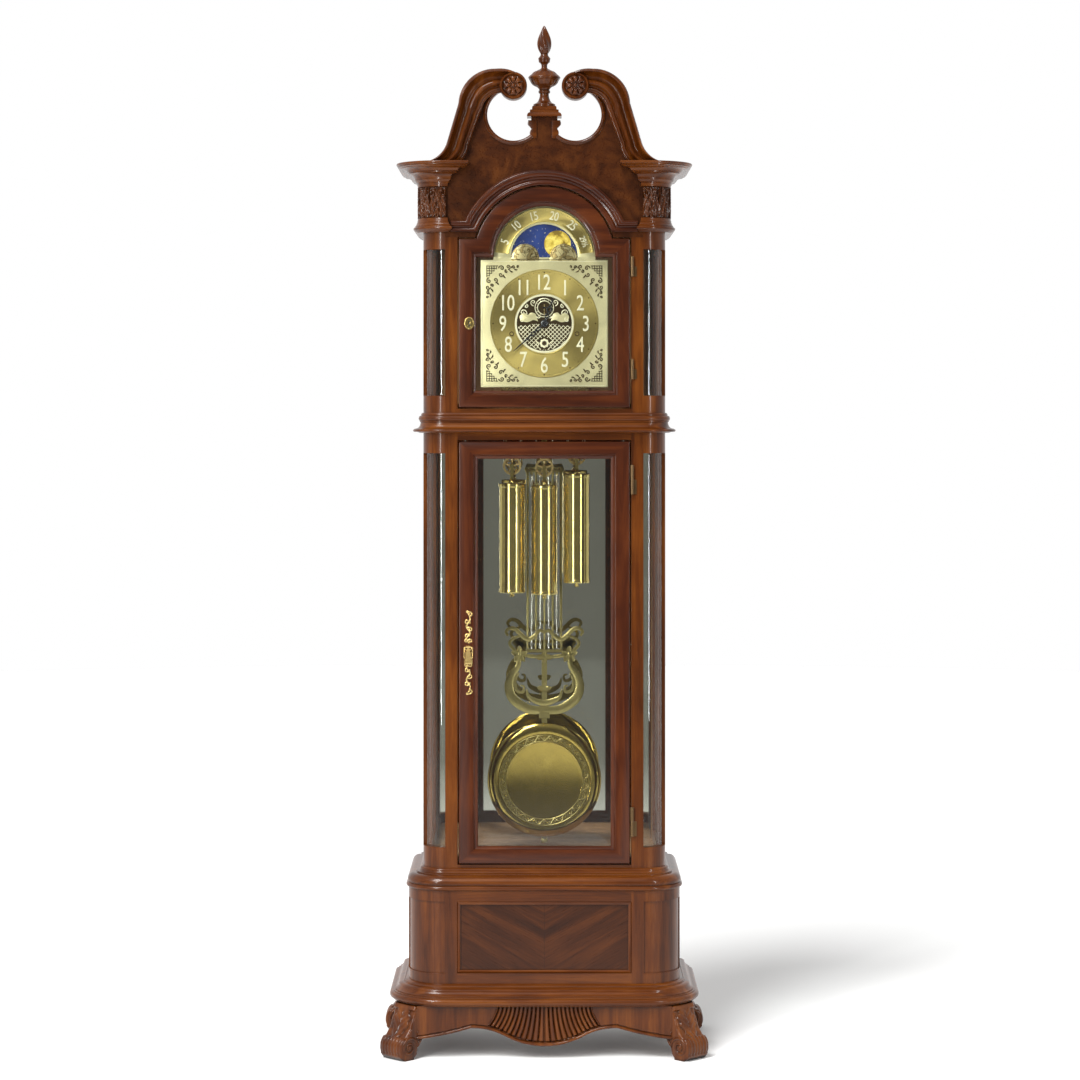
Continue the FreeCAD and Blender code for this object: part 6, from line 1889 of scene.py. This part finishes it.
def sky():
    """Studio surround: white behind the clock, bright overhead, a dimmer room in front of it."""
    world = bpy.data.worlds.new("studio")
    bpy.context.scene.world = world
    world.use_nodes = True
    nodes, links = world.node_tree.nodes, world.node_tree.links
    coords = nodes.new("ShaderNodeTexCoord")
    parts = nodes.new("ShaderNodeSeparateXYZ")
    links.new(coords.outputs["Generated"], parts.inputs[0])
    room = nodes.new("ShaderNodeMapRange")
    room.inputs["From Min"].default_value = -0.75
    room.inputs["From Max"].default_value = 0.15
    links.new(parts.outputs["Y"], room.inputs["Value"])
    walls = nodes.new("ShaderNodeValToRGB")
    walls.color_ramp.elements[0].color = (0.17, 0.165, 0.155, 1)
    walls.color_ramp.elements[1].color = (1.0, 1.0, 1.0, 1)
    links.new(room.outputs["Result"], walls.inputs["Fac"])
    overhead = nodes.new("ShaderNodeMapRange")
    overhead.interpolation_type = "SMOOTHSTEP"
    overhead.inputs["From Min"].default_value = 0.35
    overhead.inputs["From Max"].default_value = 0.8
    links.new(parts.outputs["Z"], overhead.inputs["Value"])
    blend = nodes.new("ShaderNodeMix")
    blend.data_type = "RGBA"
    blend.inputs[6].default_value = (1, 1, 1, 1)
    blend.inputs[7].default_value = (0.55, 0.55, 0.55, 1)
    links.new(overhead.outputs["Result"], blend.inputs[0])
    links.new(walls.outputs["Color"], blend.inputs[6])
    links.new(blend.outputs[2], nodes["Background"].inputs["Color"])
    nodes["Background"].inputs["Strength"].default_value = 1.0


def lights():
    """Sun, key light, two narrow strips for the brass, and the studio around them."""
    sun = bpy.data.lights.new("sun", "SUN")
    sun.energy = 3.1
    sun.angle = math.radians(22)
    obj = bpy.data.objects.new("sun", sun)
    bpy.context.collection.objects.link(obj)
    obj.rotation_mode = "QUATERNION"
    obj.rotation_quaternion = Vector((0.42, 0.62, -1.0)).to_track_quat("-Z", "Y")
    area("key", (-2.6, -4.2, 3.4), (0, 0, 1.3), 1.6, 70, (1, 0.985, 0.96))
    area("strip_left", (-1.5, -2.6, 1.6), (0, 0, 1.2), 2.4, 46, (1, 0.99, 0.97), 0.16)
    area("strip_right", (2.0, -2.4, 1.6), (0, 0, 1.2), 2.4, 34, (0.98, 0.99, 1), 0.16)
    sky()


EYE_DISTANCE, EYE_HEIGHT = 6.607, 1.4025


def camera():
    """Level camera in front of the clock, shifted down so that its verticals stay upright."""
    data = bpy.data.cameras.new("camera")
    data.sensor_width = 36
    data.lens = 98.5
    data.shift_x = -0.004
    data.shift_y = -0.115
    cam = bpy.data.objects.new("camera", data)
    bpy.context.collection.objects.link(cam)
    cam.location = (0, -EYE_DISTANCE, EYE_HEIGHT)
    cam.rotation_euler = (PI / 2, 0, 0)
    bpy.context.scene.camera = cam
    bpy.context.scene.view_settings.view_transform = "Standard"


stage()
lights()
camera()
